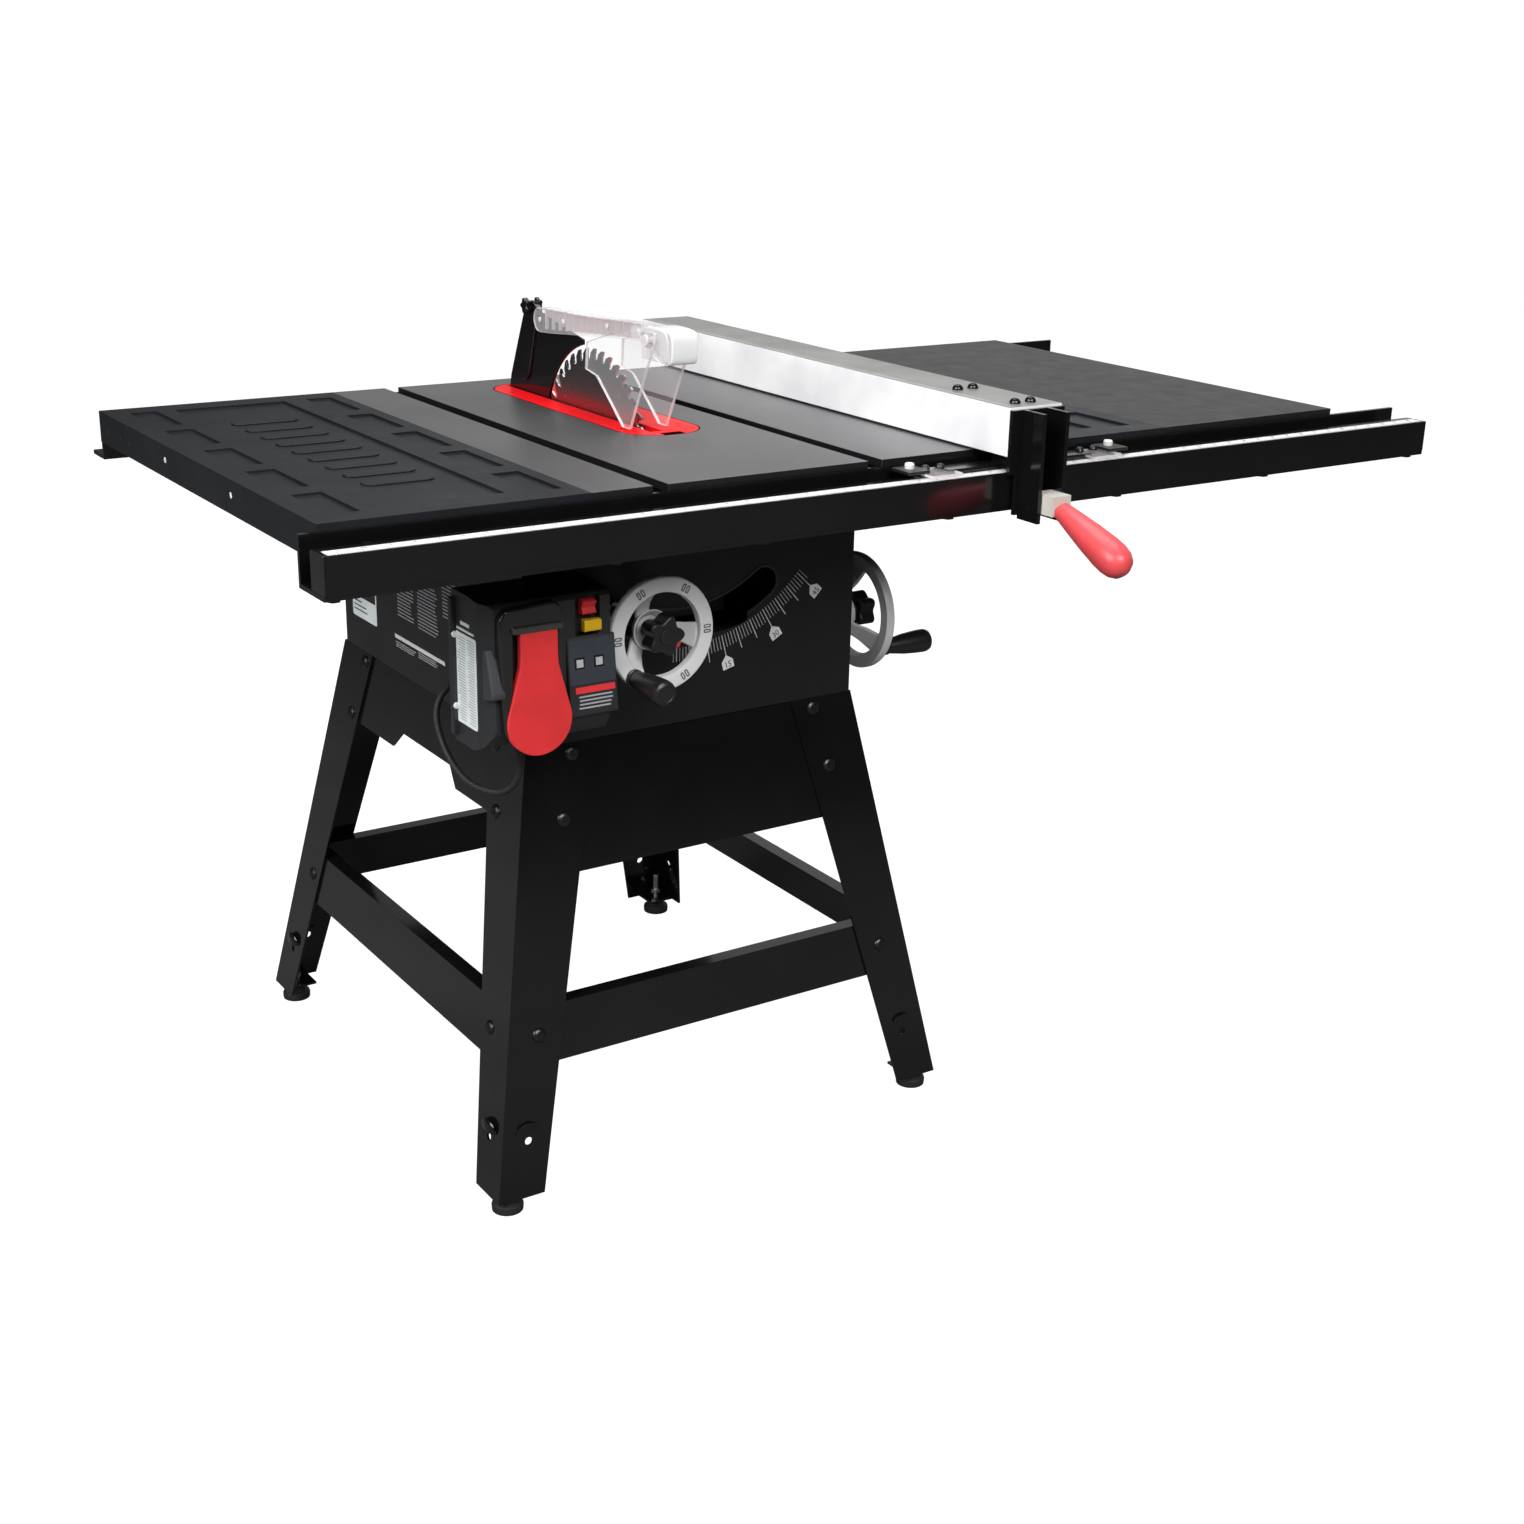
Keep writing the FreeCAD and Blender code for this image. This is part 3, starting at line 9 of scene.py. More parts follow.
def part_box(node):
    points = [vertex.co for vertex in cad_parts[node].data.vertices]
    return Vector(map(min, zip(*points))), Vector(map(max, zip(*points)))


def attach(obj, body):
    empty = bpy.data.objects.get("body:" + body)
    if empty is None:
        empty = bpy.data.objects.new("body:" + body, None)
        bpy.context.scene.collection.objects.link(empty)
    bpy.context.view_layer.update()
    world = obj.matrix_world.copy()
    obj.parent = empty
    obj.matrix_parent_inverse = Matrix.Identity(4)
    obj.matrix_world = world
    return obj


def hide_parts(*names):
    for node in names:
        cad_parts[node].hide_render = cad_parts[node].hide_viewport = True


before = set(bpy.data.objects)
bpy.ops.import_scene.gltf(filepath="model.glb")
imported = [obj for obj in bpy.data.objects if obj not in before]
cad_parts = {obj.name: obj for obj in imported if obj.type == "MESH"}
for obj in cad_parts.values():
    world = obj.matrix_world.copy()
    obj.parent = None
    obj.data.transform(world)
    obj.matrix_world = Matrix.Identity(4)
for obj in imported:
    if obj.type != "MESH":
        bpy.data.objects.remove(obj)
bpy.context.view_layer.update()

# Everything is drawn in millimetres from the cast table's front left corner, z from
# the floor: the "saw's millimetres". A finished piece is moved into the frame.
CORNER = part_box("table_top")[0]
MM = 0.001


def at(x, y, z):
    """A point in the frame, in metres, from millimetres on the saw."""
    return Vector((CORNER.x + x * MM, CORNER.y + y * MM, z * MM))


def on_saw(node):
    """The low and high corners of a CAD node, in millimetres on the saw."""
    low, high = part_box(node)
    shift = Vector((CORNER.x, CORNER.y, 0))
    return (low - shift) / MM, (high - shift) / MM


TOP = on_saw("table_top")[1].z  # height of the tables
BLADE = 231.0  # the blade's plane, counted across the saw


# ---------------------------------------------------------------- camera, light


def camera():
    """A 49 mm lens at standing height, left of the saw's front corner."""
    yaw = math.radians(-34.0)
    pitch = math.radians(-19.6)
    roll = math.radians(1.3)
    data = bpy.data.cameras.new("camera")
    data.lens = 48.7
    data.sensor_width = 36
    data.clip_end = 50
    eye = bpy.data.objects.new("camera", data)
    eye.location = at(-1018.2, -1833.6, 1318.3)
    turn = Matrix.Rotation(yaw, 4, "Z") @ Matrix.Rotation(math.pi / 2 + pitch, 4, "X")
    eye.rotation_euler = (turn @ Matrix.Rotation(roll, 4, "Z")).to_euler()
    bpy.context.scene.collection.objects.link(eye)
    bpy.context.scene.camera = eye


def area_light(name, spot, target, size, power):
    data = bpy.data.lights.new(name, "AREA")
    data.shape = "RECTANGLE"
    data.size = size[0]
    data.size_y = size[1]
    data.energy = power
    lamp = bpy.data.objects.new(name, data)
    lamp.location = spot
    lamp.rotation_euler = (Vector(target) - Vector(spot)).to_track_quat("-Z", "Y").to_euler()
    bpy.context.scene.collection.objects.link(lamp)


BRIGHT_WALL = (0.85, 0.50, 0.12)  # its heading, seen from the saw


def surroundings():
    """A dark room with a bright wall behind the saw; white where the camera looks past it."""
    world = bpy.data.worlds.new("studio")
    bpy.context.scene.world = world
    world.use_nodes = True
    tree = world.node_tree
    link = tree.links.new
    sky = tree.nodes["Background"]
    heading = tree.nodes.new("ShaderNodeVectorMath")
    heading.operation = "DOT_PRODUCT"
    heading.inputs[1].default_value = BRIGHT_WALL
    wall = tree.nodes.new("ShaderNodeMapRange")
    wall.interpolation_type = "SMOOTHSTEP"
    wall.inputs["From Min"].default_value = 0.68
    wall.inputs["From Max"].default_value = 0.92
    wall.inputs["To Min"].default_value = 0.05
    wall.inputs["To Max"].default_value = 0.55
    seen = tree.nodes.new("ShaderNodeLightPath")
    strength = tree.nodes.new("ShaderNodeMix")
    strength.inputs["B"].default_value = 1.0
    link(tree.nodes.new("ShaderNodeTexCoord").outputs["Generated"], heading.inputs[0])
    link(heading.outputs["Value"], wall.inputs["Value"])
    link(seen.outputs["Is Camera Ray"], strength.inputs["Factor"])
    link(wall.outputs["Result"], strength.inputs["A"])
    link(strength.outputs["Result"], sky.inputs["Strength"])
    sky.inputs["Color"].default_value = (1, 1, 1, 1)


def floor_coat():
    """Pale matt paint that looks evenly lit from where the camera stands."""
    shader = Shader("floor")
    shader.colour(shader.ramp(shader.noise(3), (0.16, 0.16, 0.16), (0.20, 0.20, 0.20)))
    shader.set("Roughness", 0.8)
    shader.set("Specular IOR Level", 0.0)
    shader.set("Emission Color", (1, 1, 1, 1))
    seen = shader.add("ShaderNodeLightPath")
    glow = shader.add("ShaderNodeMapRange")
    glow.inputs["To Min"].default_value = 0.0
    glow.inputs["To Max"].default_value = 1.0
    shader.join(seen.outputs["Is Camera Ray"], glow, "Value")
    shader.join(glow.outputs["Result"], shader.surface, "Emission Strength")
    return shader.material


def studio():
    """A pale floor, a bright wall behind, and large soft lights above, left and in front."""
    bpy.context.scene.view_settings.view_transform = "Standard"
    surroundings()
    area_light("left", (-3.6, -0.9, 2.9), (0, 0, 0.8), (3.0, 2.2), 175)
    area_light("front", (-0.6, -4.2, 3.6), (0, 0, 0.5), (3.2, 2.0), 190)
    area_light("top", (0.3, 0.4, 3.9), (0, 0, 0.8), (3.0, 2.4), 80)
    bpy.ops.mesh.primitive_plane_add(size=40, location=(0, 0, 0))
    floor = bpy.context.object
    floor.name = "floor"
    floor.data.materials.append(floor_coat())


# ---------------------------------------------------------------- materials


class Shader:
    """A node material around one Principled surface."""

    def __init__(self, name):
        self.material = bpy.data.materials.new(name)
        self.material.use_nodes = True
        self.tree = self.material.node_tree
        self.surface = self.tree.nodes["Principled BSDF"]
        self.place = self.add("ShaderNodeTexCoord").outputs["Object"]

    def add(self, kind, **values):
        node = self.tree.nodes.new(kind)
        for key, value in values.items():
            if key in node.inputs:
                node.inputs[key].default_value = value
            else:
                setattr(node, key, value)
        return node

    def join(self, output, node, name):
        self.tree.links.new(output, node.inputs[name])

    def set(self, name, value):
        self.surface.inputs[name].default_value = value

    def noise(self, scale, detail=3.0, stretch=(1, 1, 1)):
        mapping = self.add("ShaderNodeMapping", Scale=stretch)
        self.join(self.place, mapping, "Vector")
        texture = self.add("ShaderNodeTexNoise", Scale=scale, Detail=detail)
        self.join(mapping.outputs["Vector"], texture, "Vector")
        return texture.outputs["Fac"]

    def ramp(self, value, low, high, start=0.35, end=0.65):
        ramp = self.add("ShaderNodeValToRGB")
        ramp.color_ramp.elements[0].position = start
        ramp.color_ramp.elements[0].color = (*low, 1)
        ramp.color_ramp.elements[1].position = end
        ramp.color_ramp.elements[1].color = (*high, 1)
        self.join(value, ramp, "Fac")
        return ramp.outputs["Color"]

    def spread(self, value, low, high):
        ranged = self.add("ShaderNodeMapRange")
        ranged.inputs["To Min"].default_value = low
        ranged.inputs["To Max"].default_value = high
        self.join(value, ranged, "Value")
        return ranged.outputs["Result"]

    def colour(self, output):
        self.join(output, self.surface, "Base Color")

    def roughness(self, output):
        self.join(output, self.surface, "Roughness")

    def bump(self, height, distance, strength=1.0):
        node = self.add("ShaderNodeBump", Strength=strength, Distance=distance)
        self.join(height, node, "Height")
        previous = self.surface.inputs["Normal"]
        if previous.is_linked:
            self.join(previous.links[0].from_socket, node, "Normal")
        self.join(node.outputs["Normal"], self.surface, "Normal")


def scaled(colour, factor):
    return tuple(min(1.0, part * factor) for part in colour)


def paint(name, colour, roughness, peel=0.0, peel_scale=220, coat=0.0, shine=0.5):
    """Sprayed or powder paint: slight mottling, uneven gloss and orange peel."""
    shader = Shader(name)
    shader.colour(shader.ramp(shader.noise(9), scaled(colour, 0.85), scaled(colour, 1.12)))
    shader.roughness(shader.spread(shader.noise(30, 5), roughness * 0.8, roughness * 1.25))
    shader.set("Specular IOR Level", shine)
    if peel:
        shader.bump(shader.noise(peel_scale, 2), peel * MM)
    if coat:
        shader.set("Coat Weight", coat)
        shader.set("Coat Roughness", 0.06)
    return shader.material


def metal(name, colour, roughness, stretch=(1, 1, 1), scale=300, scratch=0.02):
    """Machined or brushed metal, with its marks drawn out along one direction."""
    shader = Shader(name)
    shader.set("Metallic", 1.0)
    marks = shader.noise(scale, 4, stretch)
    shader.colour(shader.ramp(shader.noise(14), scaled(colour, 0.9), scaled(colour, 1.08)))
    shader.roughness(shader.spread(marks, roughness * 0.75, roughness * 1.3))
    shader.bump(marks, scratch * MM)
    return shader.material


def plastic(name, colour, roughness, grain=0.03, grain_scale=900):
    """Moulded plastic with a fine spark-eroded grain."""
    shader = Shader(name)
    shader.colour(shader.ramp(shader.noise(20), scaled(colour, 0.92), scaled(colour, 1.06)))
    shader.roughness(shader.spread(shader.noise(60, 4), roughness * 0.85, roughness * 1.15))
    shader.bump(shader.noise(grain_scale, 2), grain * MM)
    return shader.material


def clear_plastic(name, colour, cover):
    """Polycarbonate seen as a thin glossy film; cover is the share of light it holds back."""
    shader = Shader(name)
    shader.colour(shader.ramp(shader.noise(12), scaled(colour, 0.96), colour))
    shader.join(shader.spread(shader.noise(18), cover * 0.9, cover * 1.1), shader.surface, "Alpha")
    shader.roughness(shader.spread(shader.noise(25, 4), 0.05, 0.12))
    shader.bump(shader.noise(40, 2), 0.02 * MM)
    return shader.material


def ground_iron(name):
    """The cast table: ground flat, dark, with fine marks along its length and faint stains."""
    shader = Shader(name)
    shader.set("Metallic", 0.85)
    marks = shader.noise(60, 5, (1, 18, 1))
    stains = shader.noise(5, 4)
    shader.colour(shader.ramp(stains, (0.19, 0.19, 0.197), (0.25, 0.251, 0.258), 0.3, 0.7))
    shader.roughness(shader.spread(marks, 0.30, 0.42))
    shader.bump(marks, 0.012 * MM)
    shader.bump(shader.noise(500, 2), 0.008 * MM)
    return shader.material


def blade_steel(name):
    """Blade plate: rings of lapping marks around the arbor."""
    shader = Shader(name)
    shader.set("Metallic", 1.0)
    low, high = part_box("saw_blade")
    middle = (low + high) / 2
    shift = shader.add("ShaderNodeVectorMath", operation="SUBTRACT")
    shader.join(shader.place, shift, 0)
    shift.inputs[1].default_value = middle
    length = shader.add("ShaderNodeVectorMath", operation="LENGTH")
    shader.join(shift.outputs["Vector"], length, 0)
    rings = shader.add("ShaderNodeTexNoise", noise_dimensions="1D", Scale=1400.0, Detail=3.0)
    shader.join(length.outputs["Value"], rings, "W")
    shader.colour(shader.ramp(rings.outputs["Fac"], (0.28, 0.28, 0.29), (0.44, 0.44, 0.45)))
    shader.roughness(shader.spread(rings.outputs["Fac"], 0.22, 0.40))
    shader.bump(rings.outputs["Fac"], 0.02 * MM)
    return shader.material


def emissive(name, colour, strength):
    """A lens with a faint painted glow."""
    shader = Shader(name)
    shader.colour(shader.ramp(shader.noise(400), scaled(colour, 0.85), colour))
    shader.set("Roughness", 0.25)
    shader.set("Emission Color", (*colour, 1))
    shader.set("Emission Strength", strength)
    return shader.material


# Each coat's recipe and the values it is mixed from, in the order the recipe takes them.
COATS = {
    "gloss_black": (paint, (0.0050, 0.0050, 0.0055), 0.13, 0.02, 90, 0.2, 0.4),
    "satin_black": (paint, (0.009, 0.009, 0.010), 0.30, 0.02, 160, 0.0, 0.32),
    "powder": (paint, (0.012, 0.0135, 0.016), 0.40, 0.05, 330, 0.0, 0.22),
    "laminate": (paint, (0.010, 0.010, 0.0105), 0.36, 0.02, 700, 0.0, 0.32),
    "hood_black": (paint, (0.011, 0.011, 0.011), 0.20, 0.03, 60, 0.4),
    "ground_iron": (ground_iron,),
    "ground_edge": (metal, (0.50, 0.50, 0.50), 0.26, (12, 1, 1), 90),
    "steel": (metal, (0.52, 0.52, 0.53), 0.28, (1, 1, 14), 120),
    # Near-black paint with no shine, laid where there is only shade: painted shade in gaps and recesses.
    "void": (paint, (0.0015, 0.0015, 0.0015), 0.9, 0.0, 220, 0.0, 0.0),
    "dark_steel": (metal, (0.06, 0.06, 0.06), 0.34),
    "wheel_silver": (paint, (0.72, 0.72, 0.725), 0.40, 0.02, 400),
    # Dark grey for the handwheels' raised marks: painted shade, standing for the shadow lines along them.
    "wheel_mark": (paint, (0.12, 0.12, 0.12), 0.40, 0.01, 400),
    "cam_silver": (paint, (0.62, 0.60, 0.54), 0.34, 0.01, 300),
    "fence_silver": (paint, (0.93, 0.94, 0.96), 0.55, 0.01, 500, 0.0, 0.3),
    "fence_top": (metal, (0.56, 0.56, 0.54), 0.40, (18, 1, 1), 70, 0.01),
    "blade_steel": (blade_steel,),
    "carbide": (metal, (0.30, 0.30, 0.32), 0.18),
    "red_paint": (paint, (0.90, 0.006, 0.010), 0.40, 0.02, 300, 0.0, 0.25),
    "red_plastic": (plastic, (0.80, 0.032, 0.036), 0.50, 0.05, 700),
    "red_grip": (plastic, (0.74, 0.075, 0.085), 0.36, 0.01, 300),
    "yellow": (plastic, (0.85, 0.52, 0.01), 0.3),
    "black_plastic": (plastic, (0.012, 0.012, 0.0125), 0.36, 0.05, 800),
    "box_plastic": (plastic, (0.020, 0.021, 0.023), 0.42, 0.06, 900),
    "inset": (plastic, (0.035, 0.042, 0.055), 0.5, 0.04, 900),
    "white_ink": (plastic, (0.80, 0.80, 0.79), 0.45, 0.0),
    "label_white": (plastic, (0.86, 0.91, 0.92), 0.5, 0.0),
    "hood_lip": (plastic, (0.05, 0.05, 0.052), 0.22, 0.01),
    "block_grey": (plastic, (0.042, 0.045, 0.052), 0.45, 0.04),
    "grey_ink": (plastic, (0.40, 0.41, 0.43), 0.5, 0.0),
    # Black for print. It is also laid where there is only shade: painted shade in the leg domes' mouths,
    # the wing's blind holes and the switch case's pocket.
    "black_ink": (plastic, (0.02, 0.02, 0.02), 0.5, 0.0),
    "tape": (plastic, (0.84, 0.84, 0.83), 0.38, 0.0),
    "clear_plastic": (clear_plastic, (0.80, 0.79, 0.80), 0.11),
    # A paler, more opaque clear coat: on cut edges it is a painted highlight, the glint of lit edges. The
    # guard's ribs and screws and the shield pin wear it whole.
    "clear_edge": (clear_plastic, (0.90, 0.85, 0.87), 0.72),
    "clear_bar": (clear_plastic, (0.80, 0.79, 0.80), 0.20),
    "clear_white": (clear_plastic, (0.93, 0.93, 0.93), 0.85),
    # Black rubber. It is also laid over the motor's vent openings as painted shade.
    "rubber": (plastic, (0.014, 0.014, 0.014), 0.62, 0.08, 500),
    "nylon": (plastic, (0.80, 0.80, 0.78), 0.45),
    # The lens's faint glow is painted light; it is not a lamp.
    "lens": (emissive, (0.50, 0.53, 0.54), 0.02),
    "motor": (paint, (0.010, 0.010, 0.011), 0.30, 0.05, 200),
}
PAINTS = {}


def materials():
    for name, (recipe, *values) in COATS.items():
        PAINTS[name] = recipe(name, *values)


# ---------------------------------------------------------------- mesh tools


def axes(axis):
    """The two directions across an axis, in the order that outlines use."""
    return {"x": (1, 2, 0), "y": (0, 2, 1), "z": (0, 1, 2)}[axis]


def point(axis, first, second, along):
    spot = [0.0, 0.0, 0.0]
    one, two, three = axes(axis)
    spot[one] = first
    spot[two] = second
    spot[three] = along
    return Vector(spot)


class Form:
    """A mesh being drawn in millimetres on the saw."""

    def __init__(self):
        self.mesh = bmesh.new()

    def slab(self, axis, outline, low, high):
        """A flat piece with an outline across an axis."""
        start = self.verts(point(axis, first, second, low) for first, second in outline)
        end = self.verts(point(axis, first, second, high) for first, second in outline)
        count = len(outline)
        self.mesh.faces.new(start)
        self.mesh.faces.new(list(reversed(end)))
        for index in range(count):
            follower = (index + 1) % count
            self.mesh.faces.new((start[follower], start[index], end[index], end[follower]))
        return self

    def verts(self, spots):
        return [self.mesh.verts.new(spot) for spot in spots]

    def skin(self, rows):
        """Quads between neighbouring rows of vertices, each row a closed loop."""
        for near, far in zip(rows, rows[1:]):
            for number in range(len(near)):
                follow = (number + 1) % len(near)
                self.mesh.faces.new((near[number], near[follow], far[follow], far[number]))
        return self

    def band(self, loops):
        """A closed ring whose cross-section runs through loops of points."""
        rows = [self.verts(loop) for loop in loops]
        return self.skin(rows + rows[:1])

    def box(self, x, y, z):
        return self.slab("z", ((x[0], y[0]), (x[1], y[0]), (x[1], y[1]), (x[0], y[1])), z[0], z[1])

    def spun(self, axis, centre, profile, segments=48):
        """A turned piece: profile holds (distance along the axis, radius)."""
        rings = []
        for along, radius in profile:
            if radius < 0.001:
                rings.append(self.verts((point(axis, *centre, along),)))
                continue
            ring = []
            for number in range(segments):
                angle = 2 * math.pi * number / segments
                first = centre[0] + radius * math.cos(angle)
                second = centre[1] + radius * math.sin(angle)
                ring.append(point(axis, first, second, along))
            rings.append(self.verts(ring))
        for near, far in zip(rings, rings[1:]):
            for number in range(segments):
                follower = (number + 1) % segments
                corners = [near[number % len(near)], near[follower % len(near)]]
                corners += [far[follower % len(far)], far[number % len(far)]]
                unique = list(dict.fromkeys(corners))
                if len(unique) > 2:
                    self.mesh.faces.new(unique)
        for end in (rings[0], rings[-1]):
            if len(end) > 2 and profile[0] != profile[-1]:
                self.mesh.faces.new(end)
        return self

    def loop(self, axis, centre, profile, segments=64):
        """A turned ring: profile is a closed outline of (along, radius)."""
        return self.spun(axis, centre, list(profile) + [profile[0]], segments)

    def turned(self, matrix):
        bmesh.ops.transform(self.mesh, matrix=matrix, verts=self.mesh.verts)
        return self

    def add(self, other):
        held = bpy.data.meshes.new("held")
        other.mesh.to_mesh(held)
        self.mesh.from_mesh(held)
        bpy.data.meshes.remove(held)
        return self


def circle(centre, radius, start=0, end=360, count=32):
    """Points on an arc; a full circle leaves its last point out."""
    steps = count if abs(end - start) >= 360 else count - 1
    points = []
    for number in range(count):
        angle = math.radians(start + (end - start) * number / steps)
        points.append((centre[0] + radius * math.cos(angle), centre[1] + radius * math.sin(angle)))
    return points


def rounded(x, y, radius, count=7):
    """The outline of a rectangle with round corners."""
    points = []
    corners = ((x[1], y[0], -90), (x[1], y[1], 0), (x[0], y[1], 90), (x[0], y[0], 180))
    for across, up, start in corners:
        inner_x = across - math.copysign(radius, across - sum(x) / 2)
        inner_y = up - math.copysign(radius, up - sum(y) / 2)
        points += circle((inner_x, inner_y), radius, start, start + 90, count)
    return points


def lobed(centre, radius, swell, count, start=0.0):
    """The outline of a knob with five round lobes."""
    points = []
    for number in range(count):
        angle = 2 * math.pi * number / count + start
        reach = radius + swell * math.cos(5 * angle)
        points.append((centre[0] + reach * math.cos(angle), centre[1] + reach * math.sin(angle)))
    return points


def smooth_outline(points, rounds=2):
    """Corner cutting that turns a few points into a flowing closed outline."""
    for _ in range(rounds):
        fresh = []
        for (x1, y1), (x2, y2) in zip(points, points[1:] + points[:1]):
            fresh.append((x1 * 0.75 + x2 * 0.25, y1 * 0.75 + y2 * 0.25))
            fresh.append((x1 * 0.25 + x2 * 0.75, y1 * 0.25 + y2 * 0.75))
        points = fresh
    return points


def apply(obj, kind, **values):
    """Add a modifier and make its result the mesh."""
    modifier = obj.modifiers.new(kind, kind)
    for key, value in values.items():
        setattr(modifier, key, value)
    graph = bpy.context.evaluated_depsgraph_get()
    mesh = bpy.data.meshes.new_from_object(obj.evaluated_get(graph))
    obj.modifiers.clear()
    obj.data = mesh


def shade(obj, angle=32):
    """Smooth shading that keeps the hard edges."""
    mesh = obj.data
    mesh.shade_smooth()
    mesh.set_sharp_from_angle(angle=math.radians(angle))
    apply(obj, "WEIGHTED_NORMAL", keep_sharp=True, weight=60)


def bevel(obj, width, segments=2, angle=32):
    if width:
        apply(obj, "BEVEL", width=width * MM, segments=segments, limit_method="ANGLE",
              angle_limit=math.radians(angle), use_clamp_overlap=True)


def carve(obj, form):
    """Take a drawn form away from a piece."""
    tool = bare_object("tool", form)
    apply(obj, "BOOLEAN", operation="DIFFERENCE", object=tool, solver="EXACT")
    bpy.data.objects.remove(tool)


def bare_object(name, form):
    mesh = form.mesh
    bmesh.ops.recalc_face_normals(mesh, faces=mesh.faces)
    for vert in mesh.verts:
        vert.co = at(*vert.co)
    data = bpy.data.meshes.new(name)
    mesh.to_mesh(data)
    mesh.free()
    obj = bpy.data.objects.new(name, data)
    bpy.context.scene.collection.objects.link(obj)
    return obj


def finish(obj, body, coat, replaced=(), angle=32):
    obj.data.materials.clear()
    obj.data.materials.append(PAINTS[coat])
    shade(obj, angle)
    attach(obj, body)
    if replaced:
        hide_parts(*replaced)
    return obj


def piece(name, form, body, coat, edge=0.5, replaced=(), segments=2, angle=32):
    """Turn a drawn form into a finished piece that rides on a body."""
    obj = bare_object(name, form)
    bevel(obj, edge, segments)
    return finish(obj, body, coat, replaced, angle)


def eased(node, edge, body, coat, segments=2, carved=()):
    """The CAD node's own shape with its edges eased, as a new piece in its place."""
    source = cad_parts[node]
    obj = bpy.data.objects.new(node + "_shape", source.data.copy())
    bpy.context.scene.collection.objects.link(obj)
    mesh = bmesh.new()
    mesh.from_mesh(obj.data)
    bmesh.ops.remove_doubles(mesh, verts=mesh.verts, dist=0.004 * MM)
    bmesh.ops.dissolve_limit(mesh, angle_limit=math.radians(0.8), verts=mesh.verts, edges=mesh.edges)
    mesh.to_mesh(obj.data)
    mesh.free()
    for form in carved:
        carve(obj, form)
    bevel(obj, edge, segments)
    return finish(obj, body, coat, (node,))


def recoat(node, coat):
    """Give a CAD node a better material."""
    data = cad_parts[node].data
    data.materials.clear()
    data.materials.append(PAINTS[coat])


def label(name, text, size, matrix, thick=0.15):
    """Raised digits as a Form; matrix places them in millimetres on the saw."""
    curve = bpy.data.curves.new(name, "FONT")
    curve.body = text
    curve.size = size
    curve.align_x = "CENTER"
    curve.align_y = "CENTER"
    curve.extrude = thick
    curve.resolution_u = 3
    helper = bpy.data.objects.new(name + "_text", curve)
    bpy.context.scene.collection.objects.link(helper)
    graph = bpy.context.evaluated_depsgraph_get()
    data = bpy.data.meshes.new_from_object(helper.evaluated_get(graph))
    bpy.data.objects.remove(helper)
    form = Form()
    form.mesh.from_mesh(data)
    bpy.data.meshes.remove(data)
    bmesh.ops.remove_doubles(form.mesh, verts=form.mesh.verts, dist=0.001)
    return form.turned(matrix)


def repaint(obj, coat, test):
    """Give the faces that pass a test (centre in saw millimetres, normal) another coat."""
    obj.data.materials.append(PAINTS[coat])
    index = len(obj.data.materials) - 1
    for face in obj.data.polygons:
        middle = (face.center - Vector((CORNER.x, CORNER.y, 0))) * (1 / MM)
        if test(middle, face.normal):
            face.material_index = index


def strap(path, half_widths, thick):
    """A plate along a path in the (x, z) plane, widening in y, as a Form."""
    form = Form()
    rows = []
    for (along, height), half in zip(path, half_widths):
        corners = ((-half, 0), (half, 0), (half, thick), (-half, thick))
        rows.append(form.verts((along, across, height + up) for across, up in corners))
    form.skin(rows)
    form.mesh.faces.new(rows[0])
    form.mesh.faces.new(list(reversed(rows[-1])))
    return form


def facing(axis, centre, along):
    """A matrix from a wheel drawn about z, front face up, to its place on the saw."""
    move = Matrix.Translation(Vector(point(axis, centre[0], centre[1], along)))
    if axis == "y":
        return move @ Matrix(((1, 0, 0, 0), (0, 0, -1, 0), (0, 1, 0, 0), (0, 0, 0, 1)))
    return move @ Matrix(((0, 0, 1, 0), (1, 0, 0, 0), (0, 1, 0, 0), (0, 0, 0, 1)))


# ---------------------------------------------------------------- stand


def feet():
    for end in ("front_left", "front_right", "rear_left", "rear_right"):
        low, high = on_saw("foot_" + end)
        centre = ((low.x + high.x) / 2, (low.y + high.y) / 2)
        profile = ((0, 16), (1.2, 18.6), (8, 19), (11, 18), (14, 13), (16, 12.4), (22.5, 12.4))
        pad = Form().spun("z", centre, profile, 40)
        piece("pad_" + end, pad, "foot_" + end, "rubber", 0.3, ("foot_" + end,))
        stud = Form().spun("z", centre, ((21, 4.9), (61, 4.9), (62, 4)), 24)
        nut = circle(centre, 8, count=6)
        piece("stud_" + end, stud, "foot_" + end, "steel", 0.3)
        piece("jam_nut_" + end, Form().slab("z", nut, 32, 38), "frame", "steel", 0.3)


STAND_MIDDLE = (222, 408)
LEG_TOP = 539  # height of the legs' upper ends
LEG_RISE = 517  # from the legs' lower ends to their upper ends
LEG_HALF = (228, 259)  # half the stand's width and depth at the top of the legs
LEG_SPLAY = (92, 93)  # how much further out the legs stand at their lower ends
MARK = 98  # height of the pressed domes' mouths
HOLE = 88  # height of the holes below them
INSET = 33  # from a leg's corner to its domes and holes


def leg_corner(side_x, side_y, height):
    """The outer corner line of a leg."""
    share = (LEG_TOP - height) / LEG_RISE
    x = STAND_MIDDLE[0] + side_x * (LEG_HALF[0] + LEG_SPLAY[0] * share)
    return x, STAND_MIDDLE[1] + side_y * (LEG_HALF[1] + LEG_SPLAY[1] * share)


